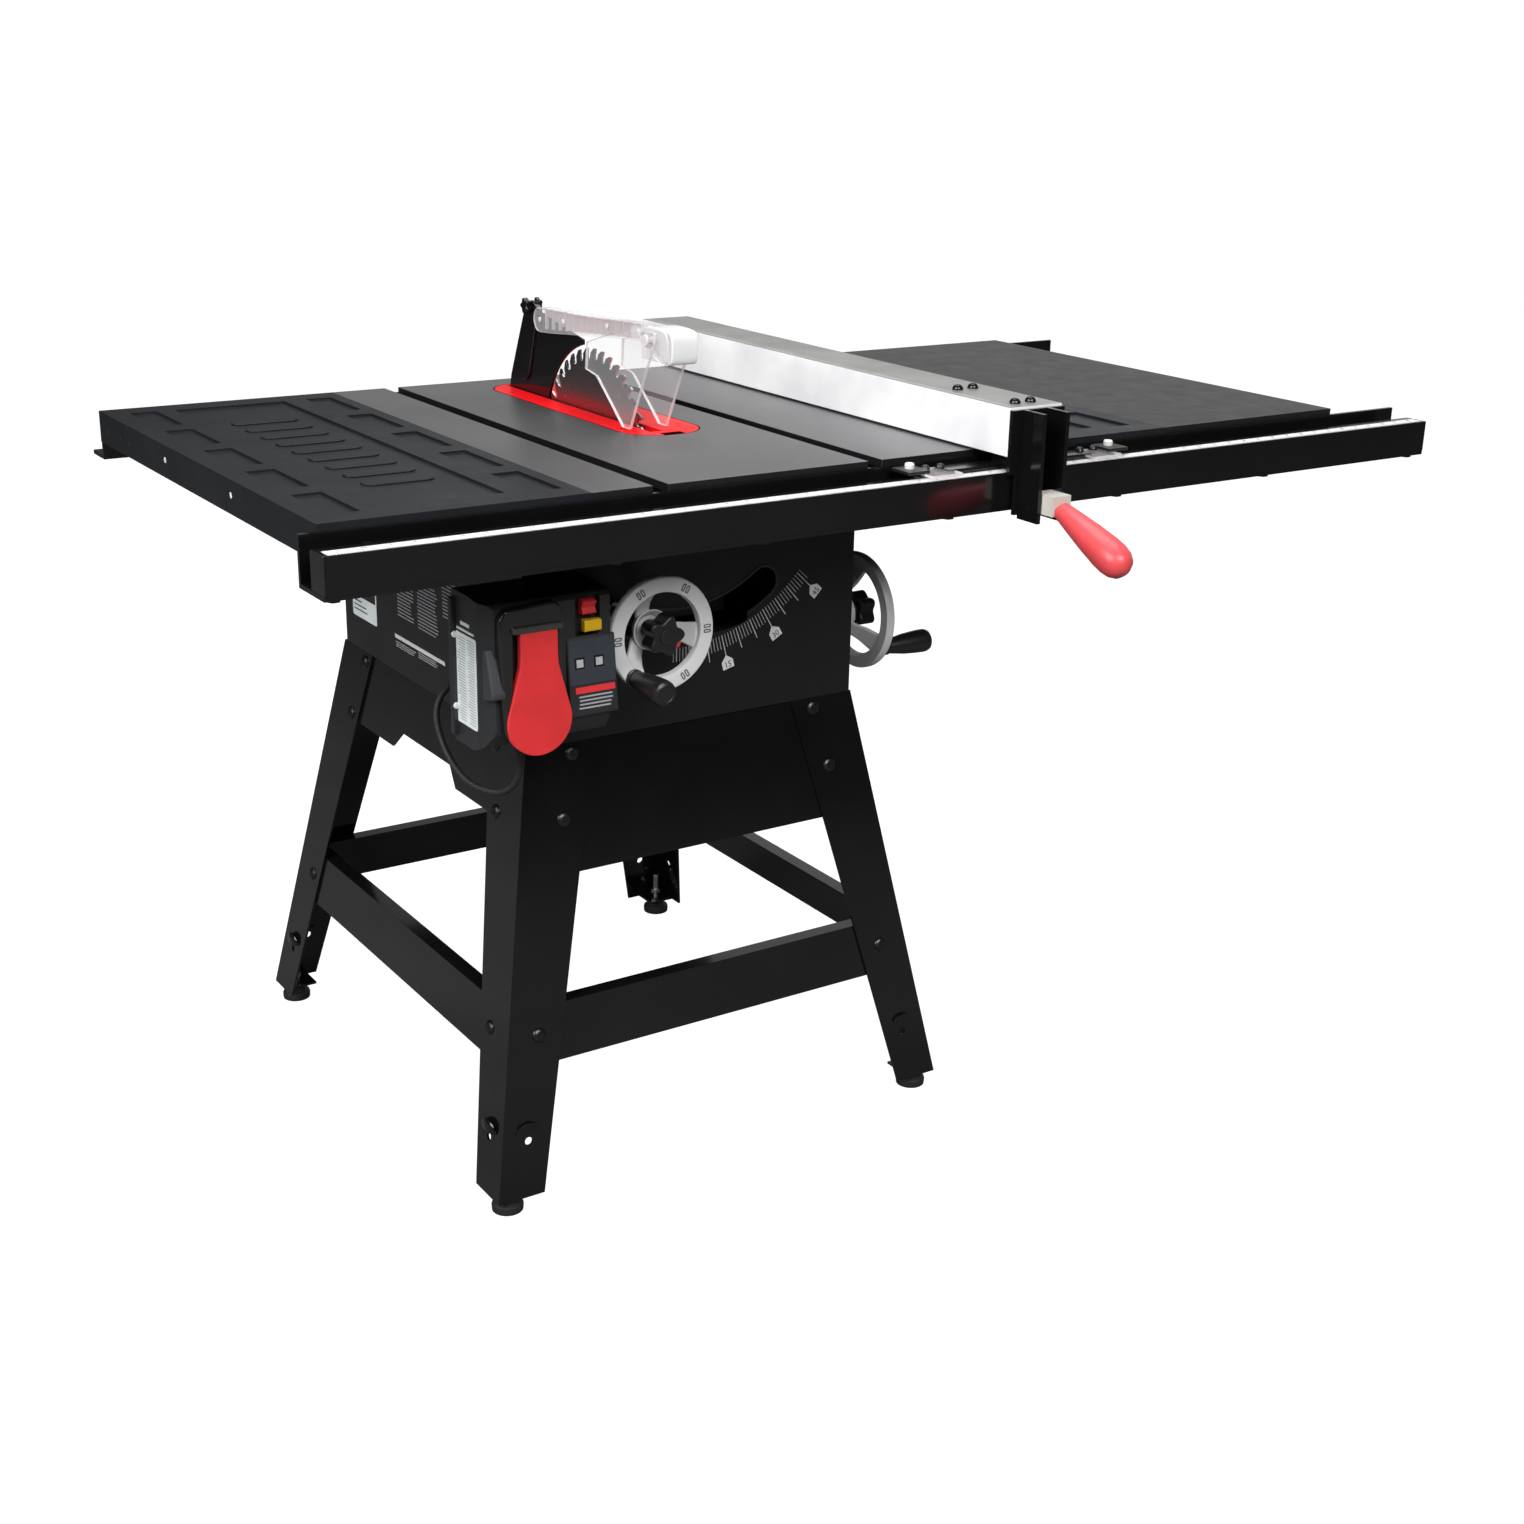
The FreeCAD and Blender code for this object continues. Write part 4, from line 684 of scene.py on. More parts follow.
def press_marks():
    """A pressed half dome above a round hole near the bottom of each leg's two faces."""
    cuts = {"front_legs": [], "rear_legs": []}
    domes = {"front_legs": Form(), "rear_legs": Form()}
    mouths = {"front_legs": Form(), "rear_legs": Form()}
    for side_x, side_y in ((-1, -1), (-1, 1), (1, -1), (1, 1)):
        node = "front_legs" if side_y < 0 else "rear_legs"
        x, y = leg_corner(side_x, side_y, MARK - 1)
        across = x - side_x * INSET
        deep = y - side_y * INSET
        cuts[node].append(Form().spun("y", (across, HOLE), ((y - 12, 5), (y + 12, 5)), 24))
        cuts[node].append(Form().spun("x", (deep, HOLE), ((x - 12, 5), (x + 12, 5)), 24))
        lean_y = Matrix.Rotation(-side_y * math.atan2(LEG_SPLAY[1], LEG_RISE), 4, "X")
        turn_y = Matrix.Rotation(math.pi / 2 * (1 + side_y) + math.pi, 4, "Z")
        lean_x = Matrix.Rotation(side_x * math.atan2(LEG_SPLAY[0], LEG_RISE), 4, "Y")
        turn_x = Matrix.Rotation(side_x * math.pi / 2, 4, "Z")
        on_front = Matrix.Translation((across, y, MARK)) @ lean_y @ turn_y
        on_side = Matrix.Translation((x, deep, MARK)) @ lean_x @ turn_x
        for spot in (on_front, on_side):
            domes[node].add(half_dome(17, 14, 6).turned(spot))
            # A thin black strip in each dome's mouth: painted shade in the opening.
            mouths[node].add(Form().box((-12, 12), (-4.5, -0.4), (-0.6, -0.05)).turned(spot))
    for node in ("front_legs", "rear_legs"):
        eased(node, 1.0, "frame", "gloss_black", 2, cuts[node])
        piece(node + "_domes", domes[node], "frame", "gloss_black", 0, angle=50)
        piece(node + "_dome_mouth_shade", mouths[node], "frame", "black_ink", 0)


def half_dome(width, rise, reach):
    """The upper half of a pressed dome on a wall that faces -y, its flat mouth below."""
    form = Form()
    steps = 14
    rings = []
    for ring in range(6):
        bend = math.pi / 2 * ring / 5
        spread = math.cos(bend)
        out = -reach * math.sin(bend)
        row = []
        for step in range(steps + 1):
            turn = math.pi * step / steps
            row.append((width * spread * math.cos(turn), out, rise * spread * math.sin(turn)))
        rings.append(form.verts(row))
    for near, far in zip(rings, rings[1:]):
        for step in range(steps):
            form.mesh.faces.new((near[step], near[step + 1], far[step + 1], far[step]))
    bottom = [row[0] for row in rings] + [row[-1] for row in reversed(rings[:-1])]
    form.mesh.faces.new(bottom)
    form.mesh.faces.new(rings[0])
    bmesh.ops.remove_doubles(form.mesh, verts=form.mesh.verts, dist=0.001)
    return form


def stand():
    feet()
    press_marks()
    for node in ("stand_aprons", "stand_stretchers"):
        eased(node, 1.0, "frame", "gloss_black")
    bolts = eased("frame_bolts", 0.7, "frame", "dark_steel")
    shade(bolts, 50)


# ---------------------------------------------------------------- cabinet


TILT_AXIS = (BLADE, TOP)
WINDOW = Vector((201.6, 851.8))  # what the curved window and its scale are drawn around
WINDOW_RADIUS = 192
WINDOW_SPAN = (-27, 36)  # degrees from straight down
SHAFT_BAND = (205, 222.4)  # distance of the shaft's path from the tilt axis
SHAFT_SPAN = (-33, 17)


def dial(radius, angle, centre=WINDOW):
    """A point on a circle on the cabinet's front, its angle measured from straight down."""
    turn = math.radians(angle)
    return centre[0] + radius * math.sin(turn), centre[1] - radius * math.cos(turn)


def slot_outline(radius, half, start, end):
    """A curved slot's outline: two arcs and two round ends."""
    outline = [dial(radius + half, angle) for angle in range(start, end, 2)]
    outline += circle(dial(radius, end), half, end - 90, end + 90, 14)
    outline += [dial(radius - half, angle) for angle in range(end - 2, start - 1, -2)]
    outline += circle(dial(radius, start), half, start + 90, start + 270, 14)
    return outline


def slot_rim():
    """A pressed lip around the curved window that the elevation shaft moves in."""
    outer = slot_outline(WINDOW_RADIUS, 20.6, *WINDOW_SPAN)
    inner = slot_outline(WINDOW_RADIUS, 17.6, *WINDOW_SPAN)
    front = on_saw("cabinet_front")[0].y
    steps = ((outer, front + 0.4), (outer, front - 1.0), (inner, front - 1.0), (inner, front + 0.4))
    form = Form().band([[(x, deep, z) for x, z in loop] for loop, deep in steps])
    rim = bare_object("lift_slot_rim", form)
    start, end = SHAFT_SPAN
    path = [dial(SHAFT_BAND[1], angle, TILT_AXIS) for angle in range(start, end + 1, 2)]
    path += [dial(SHAFT_BAND[0], angle, TILT_AXIS) for angle in range(end, start - 1, -2)]
    carve(rim, Form().slab("y", path, front - 3, front + 3))
    finish(rim, "frame", "gloss_black")


def tilt_scale():
    """Printed degree marks on an arc outside the window, with three numbered badges."""
    face = on_saw("cabinet_front")[0].y
    ticks = Form()
    first = 220.6  # distance of the marks' inner ends from the window's middle

    def lean_at(degree):
        """Where a degree of tilt is printed: the scale is a little stretched and turned."""
        return 1.086 * degree - 1.9

    for degree in range(-1, 47):
        length = 27 if degree % 5 == 0 and degree > 0 else 17
        width = 0.9 if degree % 5 == 0 else 0.5
        start = dial(first, lean_at(degree))
        end = dial(first + length, lean_at(degree))
        side = Vector((end[1] - start[1], start[0] - end[0])).normalized() * width / 2
        outline = (
            (start[0] - side.x, start[1] - side.y), (end[0] - side.x, end[1] - side.y),
            (end[0] + side.x, end[1] + side.y), (start[0] + side.x, start[1] + side.y),
        )
        ticks.slab("y", outline, face - 0.25, face + 0.3)
    piece("tilt_scale_marks", ticks, "frame", "white_ink", 0)
    badges = Form()
    digits = Form()
    for degree in (15, 30, 45):
        lean = math.radians(lean_at(degree))
        spot = dial(first + 37, lean_at(degree))
        outline = []
        for across, up in ((-8, -7), (8, -7), (8, 3), (0, 10.5), (-8, 3)):
            outline.append((
                spot[0] + across * math.cos(lean) - up * math.sin(lean),
                spot[1] + across * math.sin(lean) + up * math.cos(lean),
            ))
        badges.slab("y", outline, face - 0.3, face + 0.3)
        lower = dial(2, math.degrees(lean), spot)
        place = Matrix.Translation((lower[0], face - 0.35, lower[1]))
        place = place @ Matrix.Rotation(-lean, 4, "Y") @ Matrix.Rotation(math.pi / 2, 4, "X")
        digits.add(label("digits", str(degree), 10.5, place))
    piece("tilt_scale_badges", badges, "frame", "white_ink", 0.1)
    piece("tilt_scale_digits", digits, "frame", "black_ink", 0)


def fine_print():
    """Plain lines and bars that stand in for the print on the cabinet's left side."""
    face = on_saw("cabinet_left")[0].x
    rng = random.Random(4)
    lines = Form()
    for near, far, low, high in ((440, 490, 612, 705), (369, 430, 608, 725), (318, 358, 640, 735)):
        for row in range(int((high - low) / 4.4)):
            top = high - row * 4.4
            end = near + rng.uniform(0, 12)
            lines.box((face - 0.3, face + 0.3), (end, far), (top - 1.3, top))
    for near, far, low in ((436, 499, 573), (375, 432, 575)):
        for row in range(3):
            end = near + rng.uniform(0, 14)
            lines.box((face - 0.3, face + 0.3), (end, far), (low + row * 2.8, low + row * 2.8 + 1.2))
    piece("side_print", lines, "frame", "grey_ink", 0)
    bar = Form().box((face - 0.35, face + 0.3), (356, 501), (584, 589))
    piece("side_print_bar", bar, "frame", "white_ink", 0)
    plate = Form().slab("x", rounded((557, 633), (583, 652), 3), face - 0.4, face + 0.4)
    piece("side_plate", plate, "frame", "label_white", 0.1)
    blocks = Form().box((face - 0.6, face), (560, 630), (611, 627))
    for row in range(3):
        blocks.box((face - 0.6, face), (624 - rng.uniform(20, 40), 628), (604 - row * 6, 605.6 - row * 6))
    for row in range(4):
        blocks.box((face - 0.6, face), (562, 566 + rng.uniform(20, 56)), (633 + row * 5, 634.6 + row * 5))
    piece("side_plate_marks", blocks, "frame", "black_ink", 0)


def cabinet():
    for node in ("cabinet_front", "cabinet_left", "cabinet_right", "cabinet_rear"):
        eased(node, 0.5, "frame", "satin_black")
    slot_rim()
    tilt_scale()
    fine_print()


# ---------------------------------------------------------------- tables


def wing_details():
    """Plain pressed beads in the left wing's panel, and discs over the small holes in its outer side: pale
    ones as painted light seen through the open holes, black ones as painted shade in the blind ones.
    """
    low, high = on_saw("left_wing")
    beads = Form()
    for number in range(9):
        near = 146 + number * 48
        outline = rounded((low.x + 114, low.x + 196), (near, near + 24), 11.5)
        beads.slab("z", outline, high.z - 3.2, high.z - 1.2)
    piece("wing_beads", beads, "frame", "powder", 0.9, (), 3)
    # Pale discs over the open holes: painted light seen through them.
    bright = Form()
    for deep in (233, 443):
        bright.spun("x", (deep, 847), ((low.x - 0.15, 3.4), (low.x + 0.2, 3.4)), 20)
    piece("wing_holes_painted_light", bright, "frame", "nylon", 0)
    # Black discs over the blind holes: painted shade inside them.
    dark = Form()
    for deep in (572, 606, 651):
        dark.spun("x", (deep, 843), ((low.x - 0.15, 2.6), (low.x + 0.2, 2.6)), 20)
    piece("wing_holes_painted_shade", dark, "frame", "black_ink", 0)


def tables():
    low, high = on_saw("table_top")
    top = eased("table_top", 0.7, "frame", "ground_iron")
    repaint(top, "ground_edge", lambda p, n: n.y < -0.9 and p.y < low.y + 1 and p.z > high.z - 12)
    repaint(top, "satin_black", lambda p, n: p.z < high.z - 12 and abs(n.z) < 0.7)
    # Upward faces inside the table's recesses take the flat black: painted shade.
    repaint(top, "void", lambda p, n: high.z - 11 < p.z < high.z - 1.5 and n.z > 0.5)
    repaint(top, "satin_black", lambda p, n: high.z - 11 < p.z < high.z - 1.5 and abs(n.x) > 0.9)
    repaint(top, "satin_black", lambda p, n: n.z < -0.5)
    for node in ("left_wing", "right_wing"):
        eased(node, 1.1, "frame", "powder", 3)
    eased("extension_table", 1.2, "frame", "laminate", 3)
    wing_details()
    insert()


def insert():
    """The throat plate, a flat black ring over the gap around it as painted shade, the catch at its front
    and its levelling screws.
    """
    low, high = on_saw("table_insert")
    eased("table_insert", 0.5, "frame", "red_paint")
    # A thin ring of shine-free black over the gap around the plate: painted shade.
    outer = rounded((low.x - 1.1, high.x + 1.1), (low.y - 1.1, high.y + 1.1), 46, 12)
    inner = rounded((low.x + 0.4, high.x - 0.4), (low.y + 0.4, high.y - 0.4), 45, 12)
    steps = ((outer, TOP - 0.4), (inner, TOP - 0.4), (inner, TOP + 0.05), (outer, TOP + 0.05))
    gap = Form().band([[(x, y, height) for x, y in loop] for loop, height in steps])
    piece("insert_gap_shade", gap, "frame", "void", 0)
    # The catch is a black part; it takes the same shine-free black, which is painted shade over it.
    eased("insert_lever", 0.8, "insert_lever", "void", 3)
    screws = Form()
    head = ((TOP - 1, 3.2), (TOP + 0.1, 3.2), (TOP + 0.1, 1.7), (TOP - 0.8, 1.5))
    for across in (low.x + 14, high.x - 14):
        for deep in (low.y + 60, high.y - 60):
            screws.spun("z", (across, deep), head, 6)
    piece("insert_screws", screws, "frame", "dark_steel", 0)


# ---------------------------------------------------------------- rails


def scale_tape():
    """Ruler marks and inch numbers on the white strip, counted from the blade."""
    low, high = on_saw("scale_tape")
    recoat("scale_tape", "tape")
    inch = 25.4
    marks = Form()
    digits = Form()
    first = math.ceil((low.x + 4 - BLADE) / (inch / 8))
    last = math.floor((high.x - 4 - BLADE) / (inch / 8))
    for step in range(first, last + 1):
        across = BLADE + step * inch / 8
        length = 8.5 if step % 8 == 0 else 5.5 if step % 4 == 0 else 3.5
        half = 0.28 if step % 8 == 0 else 0.18
        marks.box((across - half, across + half), (low.y, low.y + length), (high.z - 0.1, high.z + 0.06))
        if step % 8 == 0 and across < high.x - 8:
            place = Matrix.Translation((across + 4.6, low.y + 11.5, high.z + 0.03))
            digits.add(label("inches", str(abs(step // 8)), 6.5, place, 0.03))
    piece("tape_marks", marks, "frame", "black_ink", 0)
    piece("tape_digits", digits, "frame", "black_ink", 0)


def rails():
    for node in ("front_rail", "rear_rail"):
        eased(node, 1.6, "frame", "gloss_black", 3)
    eased("front_tube", 2.2, "frame", "gloss_black", 4)
    eased("tube_end_caps", 1.0, "frame", "black_plastic", 3)
    scale_tape()


# ---------------------------------------------------------------- tilting gear


def gear():
    for node, body in (("trunnions", "frame"), ("cradle", "cradle"), ("arbor_arm", "arm")):
        eased(node, 0.8, body, "motor")
    for node in ("arbor_shaft", "elevation_shaft", "tilt_shaft"):
        recoat(node, "steel")
    recoat("motor_pulley", "dark_steel")
    recoat("drive_belt", "rubber")
    motor()


def motor():
    """A ribbed motor case with domed ends, a ring of dark bars for the vent openings as painted shade, and
    a terminal box.
    """
    low, high = on_saw("motor_housing")
    centre = (845.0, 690.0)
    shell = Form().spun("x", centre, (
        (low.x, 40), (low.x, 62), (low.x + 6, 70), (low.x + 18, 76), (low.x + 20, 77.8),
        (high.x - 20, 77.8), (high.x - 18, 76), (high.x - 6, 70), (high.x, 62), (high.x, 0),
    ), 72)
    shell.spun("x", centre, ((low.x, 40), (low.x + 8, 36), (low.x + 8, 9.2)), 72)
    piece("motor_case", shell, "cradle", "motor", 0, ("motor_housing",))
    fins = Form()
    for number in range(18):
        angle = math.radians(number * 20 + 10)
        if abs(math.cos(angle)) > 0.93 and math.cos(angle) < 0:
            continue
        bar = Form().box((low.x + 26, high.x - 26), (-1.2, 1.2), (74, 77.9))
        fins.add(bar.turned(Matrix.Translation((0, *centre)) @ Matrix.Rotation(angle, 4, "X")))
    piece("motor_fins", fins, "cradle", "motor", 0.3)
    # The vent openings are black bars laid on the end face: painted shade.
    vents = Form()
    for number in range(12):
        angle = math.radians(number * 30)
        bar = Form().slab("x", rounded((-3, 3), (38, 56), 2.9, 4), high.x - 1, high.x)
        vents.add(bar.turned(Matrix.Translation((0.05, *centre)) @ Matrix.Rotation(angle, 4, "X")))
    piece("motor_vent_shade", vents, "cradle", "rubber", 0)
    mount = Form().box((200, 340), (centre[0] - 79, centre[0] - 50), (665, 715))
    piece("motor_mount", mount, "cradle", "motor", 2)
    box = Form().slab("z", rounded((220, 300), (centre[0] - 30, centre[0] + 30), 5), 760, 780)
    piece("motor_terminal_box", box, "cradle", "motor", 1.2)


def blade():
    """A forty tooth blade: gullets, four expansion slots, carbide tips."""
    low, high = on_saw("saw_blade")
    centre = ((low.y + high.y) / 2, (low.z + high.z) / 2)
    radius = (high.y - low.y) / 2
    count = 40
    pitch = 360 / count

    def spot(distance, degrees):
        turn = math.radians(degrees)
        return centre[0] + distance * math.cos(turn), centre[1] + distance * math.sin(turn)

    outline = []
    tips = Form()
    for number in range(count):
        angle = number * pitch
        outline.append(spot(radius - 0.6, angle - 2.0))
        outline.append(spot(radius - 0.3, angle))
        outline.append(spot(radius - 5.5, angle - 0.5))
        outline.append(spot(radius - 11, angle - 0.7))
        outline.append(spot(radius - 13.6, angle - 0.1))
        if number % 10 == 4:
            outline.append(spot(radius - 14.4, angle + 0.75))
            outline.append(spot(radius - 27, angle + 0.2))
            eye = circle(spot(radius - 29.4, angle + 0.45), 2.4, 97 + angle, 97 + angle + 300, 12)
            outline += eye[1:-1]
            outline.append(spot(radius - 27, angle + 0.9))
        outline.append(spot(radius - 14.4, angle + 1.35))
        outline.append(spot(radius - 13, angle + 2.4))
        outline.append(spot(radius - 9.5, angle + 3.1))
        outline.append(spot(radius - 6, angle + 3.5))
        tip = (spot(radius, angle + 0.15), spot(radius - 0.9, angle - 1.5), spot(radius - 6.5, angle - 1.9),
               spot(radius - 6.8, angle - 0.45))
        tips.slab("x", tip, BLADE - 1.55, BLADE + 1.55)
    disc = Form()
    bore = circle(centre, 7.9, count=40)
    start = disc.verts((BLADE - 1.2, y, z) for y, z in outline)
    end = disc.verts((BLADE + 1.2, y, z) for y, z in outline)
    bore_start = disc.verts((BLADE - 1.2, y, z) for y, z in bore)
    bore_end = disc.verts((BLADE + 1.2, y, z) for y, z in bore)
    for outer, inner in ((start, bore_start), (end, bore_end)):
        edges = []
        for loop in (outer, inner):
            edges += [disc.mesh.edges.new((loop[k], loop[(k + 1) % len(loop)])) for k in range(len(loop))]
        bmesh.ops.triangle_fill(disc.mesh, edges=edges, use_beauty=True)
    disc.skin((start, end))
    disc.skin((bore_start, bore_end))
    piece("blade_plate", disc, "arbor", "blade_steel", 0, ("saw_blade",))
    piece("blade_tips", tips, "arbor", "carbide", 0.15)


# ---------------------------------------------------------------- guard


def spreader():
    """A glossy fin behind the blade with a rib on both sides and a lobed latch knob."""
    outline = [(611, 740), (611, 850), (634, 864), (630, 880), (612, 920), (590, 968), (582, 973)]
    outline += [(548, 971), (480, 958), (434, 950)]
    outline += circle((404, 816), 131, 77, 7, 15)
    outline.append((560, 740))
    fin = Form().slab("x", outline, BLADE - 1.9, BLADE + 1.9)
    piece("spreader_fin", fin, "cradle", "gloss_black", 0.9, ("spreader",), 3)
    rib = [(600, 878), (590, 902), (566, 958), (552, 958), (566, 912), (576, 878)]
    ribs = Form()
    ribs.slab("x", smooth_outline(rib), BLADE - 5.2, BLADE - 1.5)
    ribs.slab("x", smooth_outline(rib), BLADE + 1.5, BLADE + 5.2)
    piece("spreader_ribs", ribs, "cradle", "gloss_black", 1.2, (), 3)
    knob = Form()
    lobes = lobed((570, 976), 8.5, 1.6, 60)
    knob.slab("x", lobes, BLADE - 13, BLADE - 5)
    knob.slab("x", lobes, BLADE + 5, BLADE + 11)
    knob.spun("x", (570, 976), ((BLADE - 7, 5), (BLADE + 7, 5)), 20)
    piece("spreader_knob", knob, "cradle", "gloss_black", 1.6, (), 3)
    latch = Form().slab("x", smooth_outline([(592, 962), (590, 978), (566, 984), (548, 974), (552, 960)]),
                        BLADE - 4, BLADE + 4)
    piece("spreader_latch", latch, "cradle", "gloss_black", 1.0)


def guard_bar():
    """Two clear cheeks with ribs between them, a bridge, and the wide nose that holds the pin."""
    cheek = [(534, 946), (547, 950), (552, 963), (547, 975), (534, 978.5), (420, 981), (300, 988)]
    cheek += [(252, 989.5), (240, 985), (240, 970), (300, 968), (430, 956)]
    sides = Form()
    for across in (BLADE - 9, BLADE + 6.5):
        sides.slab("x", smooth_outline(cheek), across, across + 2.5)
    bar = piece("guard_cheeks", sides, "cradle", "clear_bar", 0.5, ("guard_bar",), 2)
    # The cheeks' cut edges take the paler coat: painted highlight.
    repaint(bar, "clear_edge", lambda p, n: abs(n.x) < 0.6)
    ribs = Form()
    for number in range(13):
        deep = 306 + number * 18
        share = (deep - 300) / 250
        ribs.box((BLADE - 6.5, BLADE + 6.5), (deep, deep + 1.4), (969 - share * 19, 987 - share * 10))
    top = ((545, 975), (420, 979), (300, 986), (300, 987.5), (420, 980.5), (545, 976.5))
    ribs.slab("x", top, BLADE - 6.5, BLADE + 6.5)
    piece("guard_ribs", ribs, "cradle", "clear_edge", 0)
    outline = smooth_outline([
        (199, 957), (204, 950), (213, 950), (256, 972), (264, 980), (264, 990), (206, 990), (198.5, 982),
    ])
    nose = Form().slab("x", outline, BLADE - 15, BLADE + 21)
    piece("guard_nose", nose, "cradle", "clear_white", 2.0, (), 3)
    plate = Form().slab("x", outline, BLADE - 22, BLADE - 19.5)
    sheet = piece("guard_nose_side", plate, "cradle", "clear_bar", 0.5, (), 2)
    # The side sheet's cut edges take the paler coat too: painted highlight.
    repaint(sheet, "clear_edge", lambda p, n: abs(n.x) < 0.6)
    screws = Form()
    head = ((9, 3.4), (10, 3.4), (10.6, 2.4), (10.6, 0))
    for deep, height in ((532, 963), (470, 968), (360, 976), (285, 979)):
        for side in (-1, 1):
            screws.spun("x", (deep, height), [(BLADE + side * out, wide) for out, wide in head], 16)
    piece("guard_screws", screws, "cradle", "clear_edge", 0)


def shields():
    """Clear side shields whose cut edges get a paler, more opaque coat: a painted highlight."""
    for node in ("shield_left", "shield_right"):
        shape = eased(node, 0.5, node, "clear_plastic")
        # Edge faces take the paler coat: painted highlight.
        repaint(shape, "clear_edge", lambda p, n: abs(n.x) < 0.75)
    eased("shield_pin", 0.6, "shield_pin", "clear_edge", 3)


def guard():
    spreader()
    guard_bar()
    shields()


# ---------------------------------------------------------------- handwheels


def handwheel(name, node, body, axis, centre, front, crank_angle, radius):
    """A flat silver ring on three dished spokes, with six pairs of raised marks, dark grey as painted shade
    along them.
    """
    place = facing(axis, centre, front)
    ring = Form().loop("z", (0, 0), (
        (0, radius - 17.5), (0.4, radius - 16.5), (0.4, radius - 2.5), (-0.8, radius - 0.8), (-3, radius),
        (-9, radius), (-12, radius - 2), (-12, radius - 15.5), (-9, radius - 18.5), (-2, radius - 18.5),
    ), 96)
    hub = Form().loop("z", (0, 0), (
        (-44, 7.3), (-44, 14), (-41, 17), (-34, 20.5), (-28, 22.5), (-25, 23.5), (-24, 22.5), (-26, 20),
        (-32, 15), (-33, 7.3),
    ), 48)
    piece(name + "_ring", ring.turned(place), body, "wheel_silver", 0, (node,), angle=40)
    piece(name + "_hub", hub.turned(place), body, "wheel_silver", 0, angle=40)
    spokes = Form()
    for turn in (0, 120, 240):
        path = ((15, -41), (22, -38), (31, -31), (40, -22), (radius - 20, -12), (radius - 10, -9.5))
        spoke = strap(path, (10, 9.5, 10, 12, 15, 17.5), 6.5)
        spokes.add(spoke.turned(place @ Matrix.Rotation(math.radians(crank_angle + turn), 4, "Z")))
    piece(name + "_spokes", spokes, body, "wheel_silver", 2.4, (), 4)
    # The marks' dark grey is painted shade, standing for the shadow lines around the raised outlines.
    marks = Form()
    for number in range(6):
        turn = Matrix.Rotation(math.radians(number * 60), 4, "Z")
        for side in (-2.9, 2.9):
            outline = rounded((radius - 14, radius - 4.5), (side - 2.1, side + 2.1), 1.8, 5)
            inside = rounded((radius - 12.6, radius - 5.9), (side - 0.8, side + 0.8), 0.7, 5)
            steps = ((outline, 0.2), (outline, 0.8), (inside, 0.8), (inside, 0.2))
            mark = Form().band([[(x, y, height) for x, y in loop] for loop, height in steps])
            marks.add(mark.turned(place @ turn))
    piece(name + "_marks", marks, body, "wheel_mark", 0)
    button = Form().spun("z", (0, 0), ((-33, 6), (-20, 5.8), (-13, 5), (-11.5, 3.4), (-11, 0)), 24)
    spot = Matrix.Rotation(math.radians(crank_angle + 97), 4, "Z") @ Matrix.Translation((31, 0, 0))
    piece(name + "_button", button.turned(place @ spot), body, "red_plastic", 0)


def crank(name, node, body, axis, centre, front, angle, reach):
    place = facing(axis, centre, front) @ Matrix.Rotation(math.radians(angle), 4, "Z")
    place = place @ Matrix.Translation((reach, 0, 0))
    grip = Form().spun("z", (0, 0), (
        (0.6, 10.6), (3.4, 10.6), (4, 9.6), (5, 9.2), (12, 10.4), (30, 13.2), (48, 14.6), (60, 15),
        (64, 14.8), (67.5, 13.6), (69.4, 11.2), (69.8, 9.5), (69.2, 8.8), (69.2, 0),
    ), 40)
    piece(name, grip.turned(place), body, "black_plastic", 0, (node,), angle=28)


def star_knob(name, node, body, axis, centre, front):
    place = facing(axis, centre, front)
    outline = lobed((0, 0), 20.5, 3.4, 90, 0.3)
    knob = Form().slab("z", outline, -14, 10)
    piece(name, knob.turned(place), body, "black_plastic", 3.2, (node,), 4, 25)
    stem = Form().spun("z", (0, 0), ((-31, 11), (-14, 13), (-13, 13)), 32)
    piece(name + "_stem", stem.turned(place), body, "black_plastic", 0)
    cap = Form().spun("z", (0, 0), ((9.5, 10), (11, 9.5), (11.6, 8), (11.6, 0)), 32)
    piece(name + "_cap", cap.turned(place), body, "black_plastic", 0)


def controls():
    for name, side, axis, centre, front, angle, radius, reach in (
        ("lift", "front", "y", (123, 679), 61, 230, 67, 58),
        ("tilt", "right", "x", (246, 610), 533, 215, 76, 66),
    ):
        handwheel(name + "_wheel", "handwheel_" + side, name + "_wheel", axis, centre, front, angle, radius)
        handle = "crank_handle_" + side
        crank(name + "_crank_grip", handle, name + "_crank", axis, centre, front, angle, reach)
        star_knob(name + "_knob", "lock_knob_" + side, name + "_lock", axis, centre, front)


# ---------------------------------------------------------------- fence


FENCE = 538.5  # the middle of the fence across the saw
LEVER = 535.5  # the middle of its cam lever


def fence():
    tube = eased("fence_tube", 1.4, "fence", "fence_silver", 3)
    top = on_saw("fence_tube")[1].z
    repaint(tube, "fence_top", lambda p, n: p.z > top - 0.5 and n.z > 0.9)
    faces = eased("fence_faces", 0.7, "fence", "fence_silver")
    repaint(faces, "fence_top", lambda p, n: p.z > top - 2 and n.z > 0.9)
    recoat("fence_glides", "nylon")
    eased("fence_head", 1.1, "fence", "gloss_black", 3)
    screws = Form()
    head = ((-6, 6), (0.1, 6), (0.1, 6.5), (1.8, 6.5), (4.2, 5.2), (5.5, 3.4))
    head += ((5.5, 2.6), (2.5, 2.4), (2.5, 0))  # the socket
    for across in (FENCE - 11.5, FENCE + 11.5):
        for deep in (63, -41):
            screws.spun("z", (across, deep), [(top + up, wide) for up, wide in head], 24)
    piece("fence_cap_screws", screws, "fence", "gloss_black", 0, ("fence_screws",))
    cursors()
    lever()


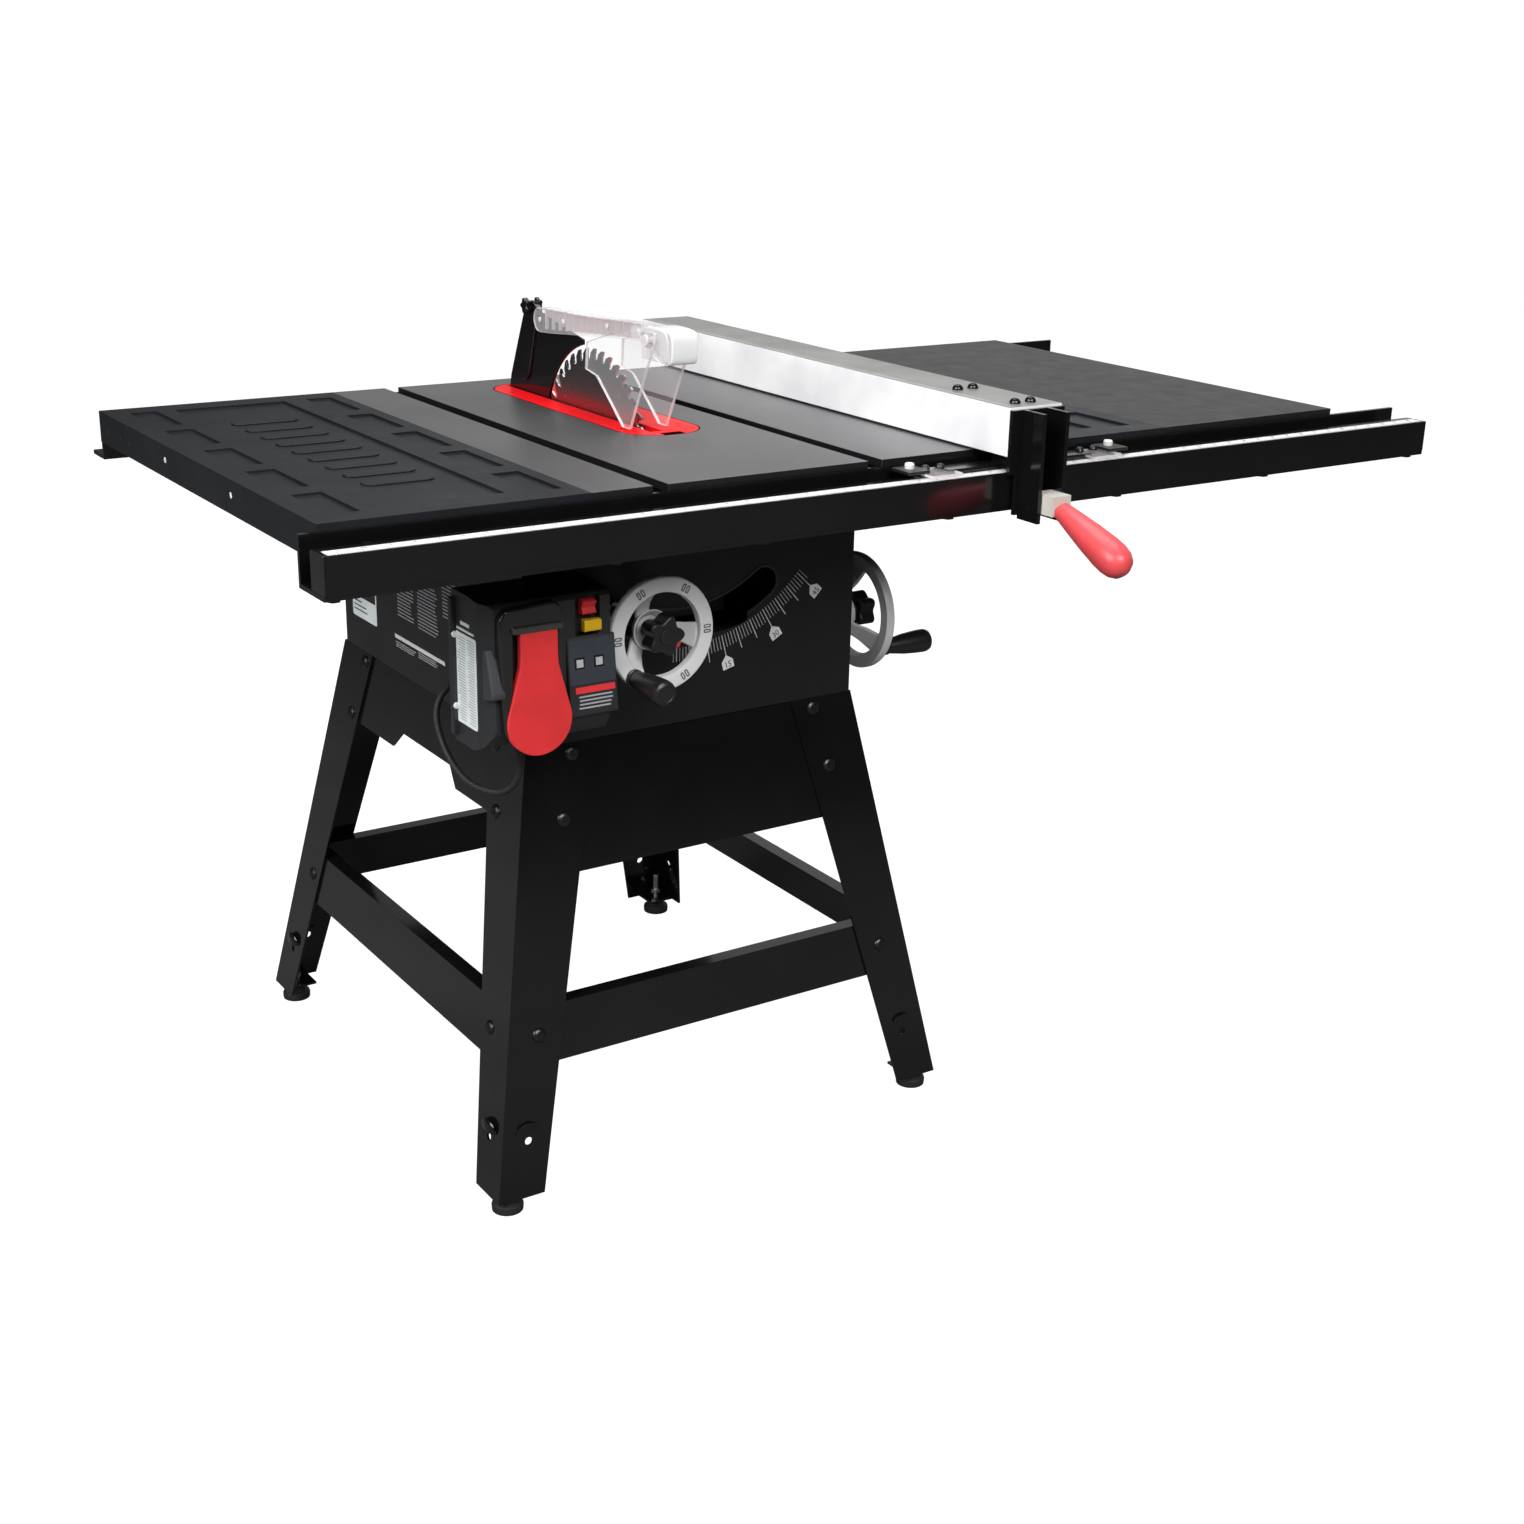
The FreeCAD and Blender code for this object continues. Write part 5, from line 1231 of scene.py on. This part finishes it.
def cursors():
    low, high = on_saw("cursor_windows")
    middle = (low.x + high.x) / 2
    base = low.z
    windows = Form()
    screws = Form()
    plates = Form()
    knobs = Form()
    lines = Form()
    for side in (-1, 1):
        across = middle + side * 120
        windows.slab("z", rounded((across - 22, across + 22), (-62, -20), 2.5), base, base + 3)
        line = middle + side * 118
        lines.box((line - 0.25, line + 0.25), (-61, -33), (base - 0.3, base - 0.05))
        for across in (middle + side * 105, middle + side * 126):
            head = ((base + 3, 5.4), (base + 5, 5.4), (base + 7, 4.2), (base + 8, 2.4), (base + 8, 0))
            screws.spun("z", (across, -27), head, 24)
        across = middle + side * 149
        plates.slab("z", rounded((across - 15, across + 15), (-48, -14), 2), base + 3, base + 6.5)
        head = ((base + 6.5, 5.4), (base + 11, 5.6), (base + 12.6, 4.6), (base + 12.6, 0))
        knobs.spun("z", (across, -28), head, 24)
    panes = piece("cursor_panes", windows, "fence", "clear_bar", 0.5, ("cursor_windows",))
    # The panes' edges take the paler coat: painted highlight.
    repaint(panes, "clear_edge", lambda p, n: abs(n.z) < 0.6)
    piece("cursor_lines", lines, "fence", "red_plastic", 0)
    piece("cursor_screws", screws, "fence", "dark_steel", 0)
    piece("cursor_plates", plates, "fence", "black_plastic", 0.6, ("cursor_knobs",))
    piece("cursor_buttons", knobs, "fence", "nylon", 0)


def lever():
    """A brushed steel cam block between the cheeks and a tapered red grip."""
    cam = eased("fence_lever", 1.0, "clamp_lever", "cam_silver", 3)
    repaint(cam, "gloss_black", lambda p, n: abs(p.x - LEVER) > 14.2)
    droop = math.radians(22.4)
    grip = Form().spun("z", (0, 0), (
        (1, 9), (2.5, 10.6), (8, 11.4), (28, 14), (56, 17.4), (84, 19.8), (97, 20), (107, 18.6),
        (114.5, 15), (119, 9.5), (121, 4), (121.2, 0),
    ), 48)
    grip.turned(Matrix.Translation((LEVER, -120.8, 813.5)) @ Matrix.Rotation(math.pi / 2 + droop, 4, "X"))
    piece("lever_grip", grip, "clamp_lever", "red_grip", 0, ("fence_grip",), angle=50)


# ---------------------------------------------------------------- switch


def switch_case():
    """A moulded case with a chamfered left edge, a lower ledge and a pocket for the buttons."""
    low, high = on_saw("switch_box")
    left = low.x
    rear = 138.0
    side_view = ((rear, 572), (92, 572), (72, 580), (62, 594), (60, 602), (60, 735), (66, 740), (100, 744))
    case = Form().slab("x", side_view + ((rear, 744),), left, high.x)
    corner = [(left - 2, 90), (left - 2, 50), (left + 16, 50), (left + 13, 58), (left + 1, 74)]
    obj = bare_object("switch_case", case)
    carve(obj, Form().slab("z", corner, 560, 760))
    carve(obj, Form().slab("y", rounded((12, 42), (693, 738), 3), 50, 70))
    carve(obj, Form().slab("y", rounded((-68, -9), (560, 722), 5), 50, 63.5))
    bevel(obj, 3.0, 4, 24)
    finish(obj, "frame", "box_plastic", ("switch_box",), 30)
    # The pocket's walls and floor take black: painted shade in the recess.
    repaint(obj, "black_ink", lambda p, n: 61 < p.y < 71 and 11 < p.x < 43 and 692 < p.z < 739)
    repaint(obj, "hood_black", lambda p, n: p.z > 741.5 and n.z > 0.5)
    outline = [(-79, 596), (-82, 640), (-84.5, 699), (-84, 726), (-78, 736), (-20, 740), (-12, 736)]
    outline += [(-8, 726), (-8, 712), (-68, 712), (-68.5, 660), (-66, 596)]
    hood = Form().slab("y", outline, 49, 63)
    piece("switch_hood", hood, "frame", "hood_black", 3.0, (), 4, 25)
    lip = Form().slab("y", rounded((-71, -10), (709.5, 716.5), 2.5), 44.5, 56)
    piece("switch_hood_lip", lip, "frame", "hood_lip", 1.8, (), 4)
    block = Form().slab("x", ((72, 692), (63, 692), (49, 647), (49, 639), (72, 634)), -95, -77)
    piece("switch_block", block, "frame", "block_grey", 2.6, (), 4, 25)
    buttons_panel(left)


def wedge(z):
    """How far forward the button panel's face stands at a height."""
    return 59.4 - 9.0 * (692 - z) / 84


def on_wedge(x, z, thick):
    """A slab lying on the leaning button panel, low and high in x and z."""
    low, high = wedge(z[0]), wedge(z[1])
    outline = ((low - thick, z[0]), (high - thick, z[1]), (high + 1, z[1]), (low + 1, z[0]))
    return Form().slab("x", outline, *x)


def buttons_panel(left):
    """The leaning panel with two lenses, plain stand-ins for its print, and the left side's label."""
    body = Form().slab("x", ((64, 692), (wedge(692), 692), (wedge(605), 605), (64, 599)), 0.5, 60)
    piece("switch_wedge", body, "frame", "box_plastic", 1.4, (), 3)
    inset = on_wedge((2, 58.5), (640, 690), 0.5)
    piece("switch_inset", inset, "frame", "inset", 0.3)
    bezels = Form()
    lenses = Form()
    for across in (14.5, 38.5):
        bezels.add(on_wedge((across - 6.2, across + 6.2), (657, 670), 0.9))
        lenses.add(on_wedge((across - 4.2, across + 4.2), (659.2, 667.8), 1.7))
    piece("switch_bezels", bezels, "frame", "hood_black", 0.4)
    piece("switch_lenses", lenses, "frame", "lens", 0.4)
    band = on_wedge((8, 57), (630, 637), 0.3)
    piece("switch_band", band, "frame", "red_plastic", 0)
    rng = random.Random(7)
    lines = Form()
    for row in range(4):
        top = 627 - row * 4.2
        lines.add(on_wedge((11 + rng.uniform(0, 2), 54 - rng.uniform(0, 7)), (top - 1.7, top), 0.3))
    piece("switch_band_lines", lines, "frame", "grey_ink", 0)
    side = Form().slab("x", rounded((80.5, 130), (596.5, 699), 3), left - 0.5, left + 1)
    piece("switch_side_label", side, "frame", "label_white", 0)
    rows = Form()
    for row in range(31):
        top = 695 - row * 3.1
        for start, end in ((84, 102), (106, 126)):
            finish_at = end - rng.uniform(0, 7)
            rows.box((left - 0.8, left), (start, finish_at), (top - 0.9, top))
    piece("switch_side_lines", rows, "frame", "grey_ink", 0)
    heads = Form()
    heads.box((left - 0.4, left + 0.2), (95, 117), (708.5, 712.5))
    heads.box((left - 0.4, left + 0.2), (85, 126), (702, 704.6))
    piece("switch_side_heading", heads, "frame", "white_ink", 0)
    flange = Form().slab("y", rounded((left - 6, left + 8), (580, 736), 2), 128, 136)
    piece("switch_flange", flange, "frame", "box_plastic", 1)
    screws = Form()
    for height in (614, 695):
        screws.spun("y", (left - 2.5, height), ((128, 3.6), (126.4, 3.6), (125.4, 2.6), (125.2, 0)), 18)
    piece("switch_flange_screws", screws, "frame", "white_ink", 0)


def switch_parts():
    """The red stop paddle, the red rocker and the yellow key."""
    outline = [(-61.5, 711), (-61.5, 690), (-62, 672)]
    outline += circle((-39, 609), 39, 168, 372, 40)
    outline += [(-16, 672), (-16.5, 690), (-16.5, 711)]
    paddle = Form().slab("y", outline, 46, 55)
    paddle.box((-58, -20), (51, 54), (705, 730))
    paddle.spun("x", (54, 730), ((-66, 2.5), (-12, 2.5)), 20)
    piece("paddle_plate", paddle, "paddle", "red_plastic", 2.2, ("stop_paddle",), 4)
    side_view = [(66, 733.5), (57, 733), (54.5, 731), (58.5, 725), (54.8, 719), (58, 717), (66, 716.5)]
    rocker = Form().slab("x", side_view, 18.3, 35.7)
    piece("rocker_cap", rocker, "rocker", "red_plastic", 1.1, ("power_rocker",), 3)
    outline = ((59.4, 712), (52, 712), (51, 710.5), (51, 701), (52.5, 699), (59.4, 699))
    key = Form().slab("x", outline, 18.4, 39.6)
    key.box((24.4, 33.6), (58, 71), (703.2, 708.8))
    piece("key_cap", key, "key", "yellow", 1.1, ("safety_key",), 3)


def cable():
    """The short lead from the cabinet's side to the bottom of the switch case."""
    diameter = 7.8
    route = (
        (-18, 252, 602), (-29, 252, 602), (-48, 251, 597), (-64, 247.6, 585), (-73, 242.5, 566),
        (-73.5, 228, 540), (-71, 206, 518), (-66, 178, 503), (-58, 152, 499.5), (-48.4, 128.4, 501.3),
        (-40.8, 109.8, 514.4), (-37, 100, 536), (-37, 100, 556),
    )
    curve = bpy.data.curves.new("switch_lead", "CURVE")
    curve.dimensions = "3D"
    curve.bevel_depth = diameter / 2 * MM
    curve.bevel_resolution = 5
    curve.resolution_u = 24
    spline = curve.splines.new("NURBS")
    spline.points.add(len(route) - 1)
    for control, spot in zip(spline.points, route):
        control.co = (*at(*spot), 1)
    spline.order_u = 3
    spline.use_endpoint_u = True
    lead = bpy.data.objects.new("switch_lead", curve)
    bpy.context.scene.collection.objects.link(lead)
    curve.materials.append(PAINTS["rubber"])
    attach(lead, "frame")
    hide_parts("switch_cable")
    steps = ((0, 10.5), (-4, 10.5), (-5, 8.2), (-7, 7.6), (-7.1, 6.7), (-8, 6.7), (-8.1, 7.0), (-10, 6.4),
             (-10.1, 5.6), (-11, 5.6), (-11.1, 5.9), (-13, 5.3))
    reliefs = Form()
    reliefs.spun("x", (252, 602), [(along - 5, wide) for along, wide in steps], 28)
    reliefs.spun("z", (-37, 100), [(573 + along * 17 / 13, wide) for along, wide in steps], 28)
    piece("lead_reliefs", reliefs, "frame", "rubber", 0, ("cable_glands",))


def switch():
    switch_case()
    switch_parts()


# ---------------------------------------------------------------- the scene

camera()
materials()
cable()
studio()
stand()
cabinet()
tables()
rails()
gear()
blade()
guard()
controls()
fence()
switch()
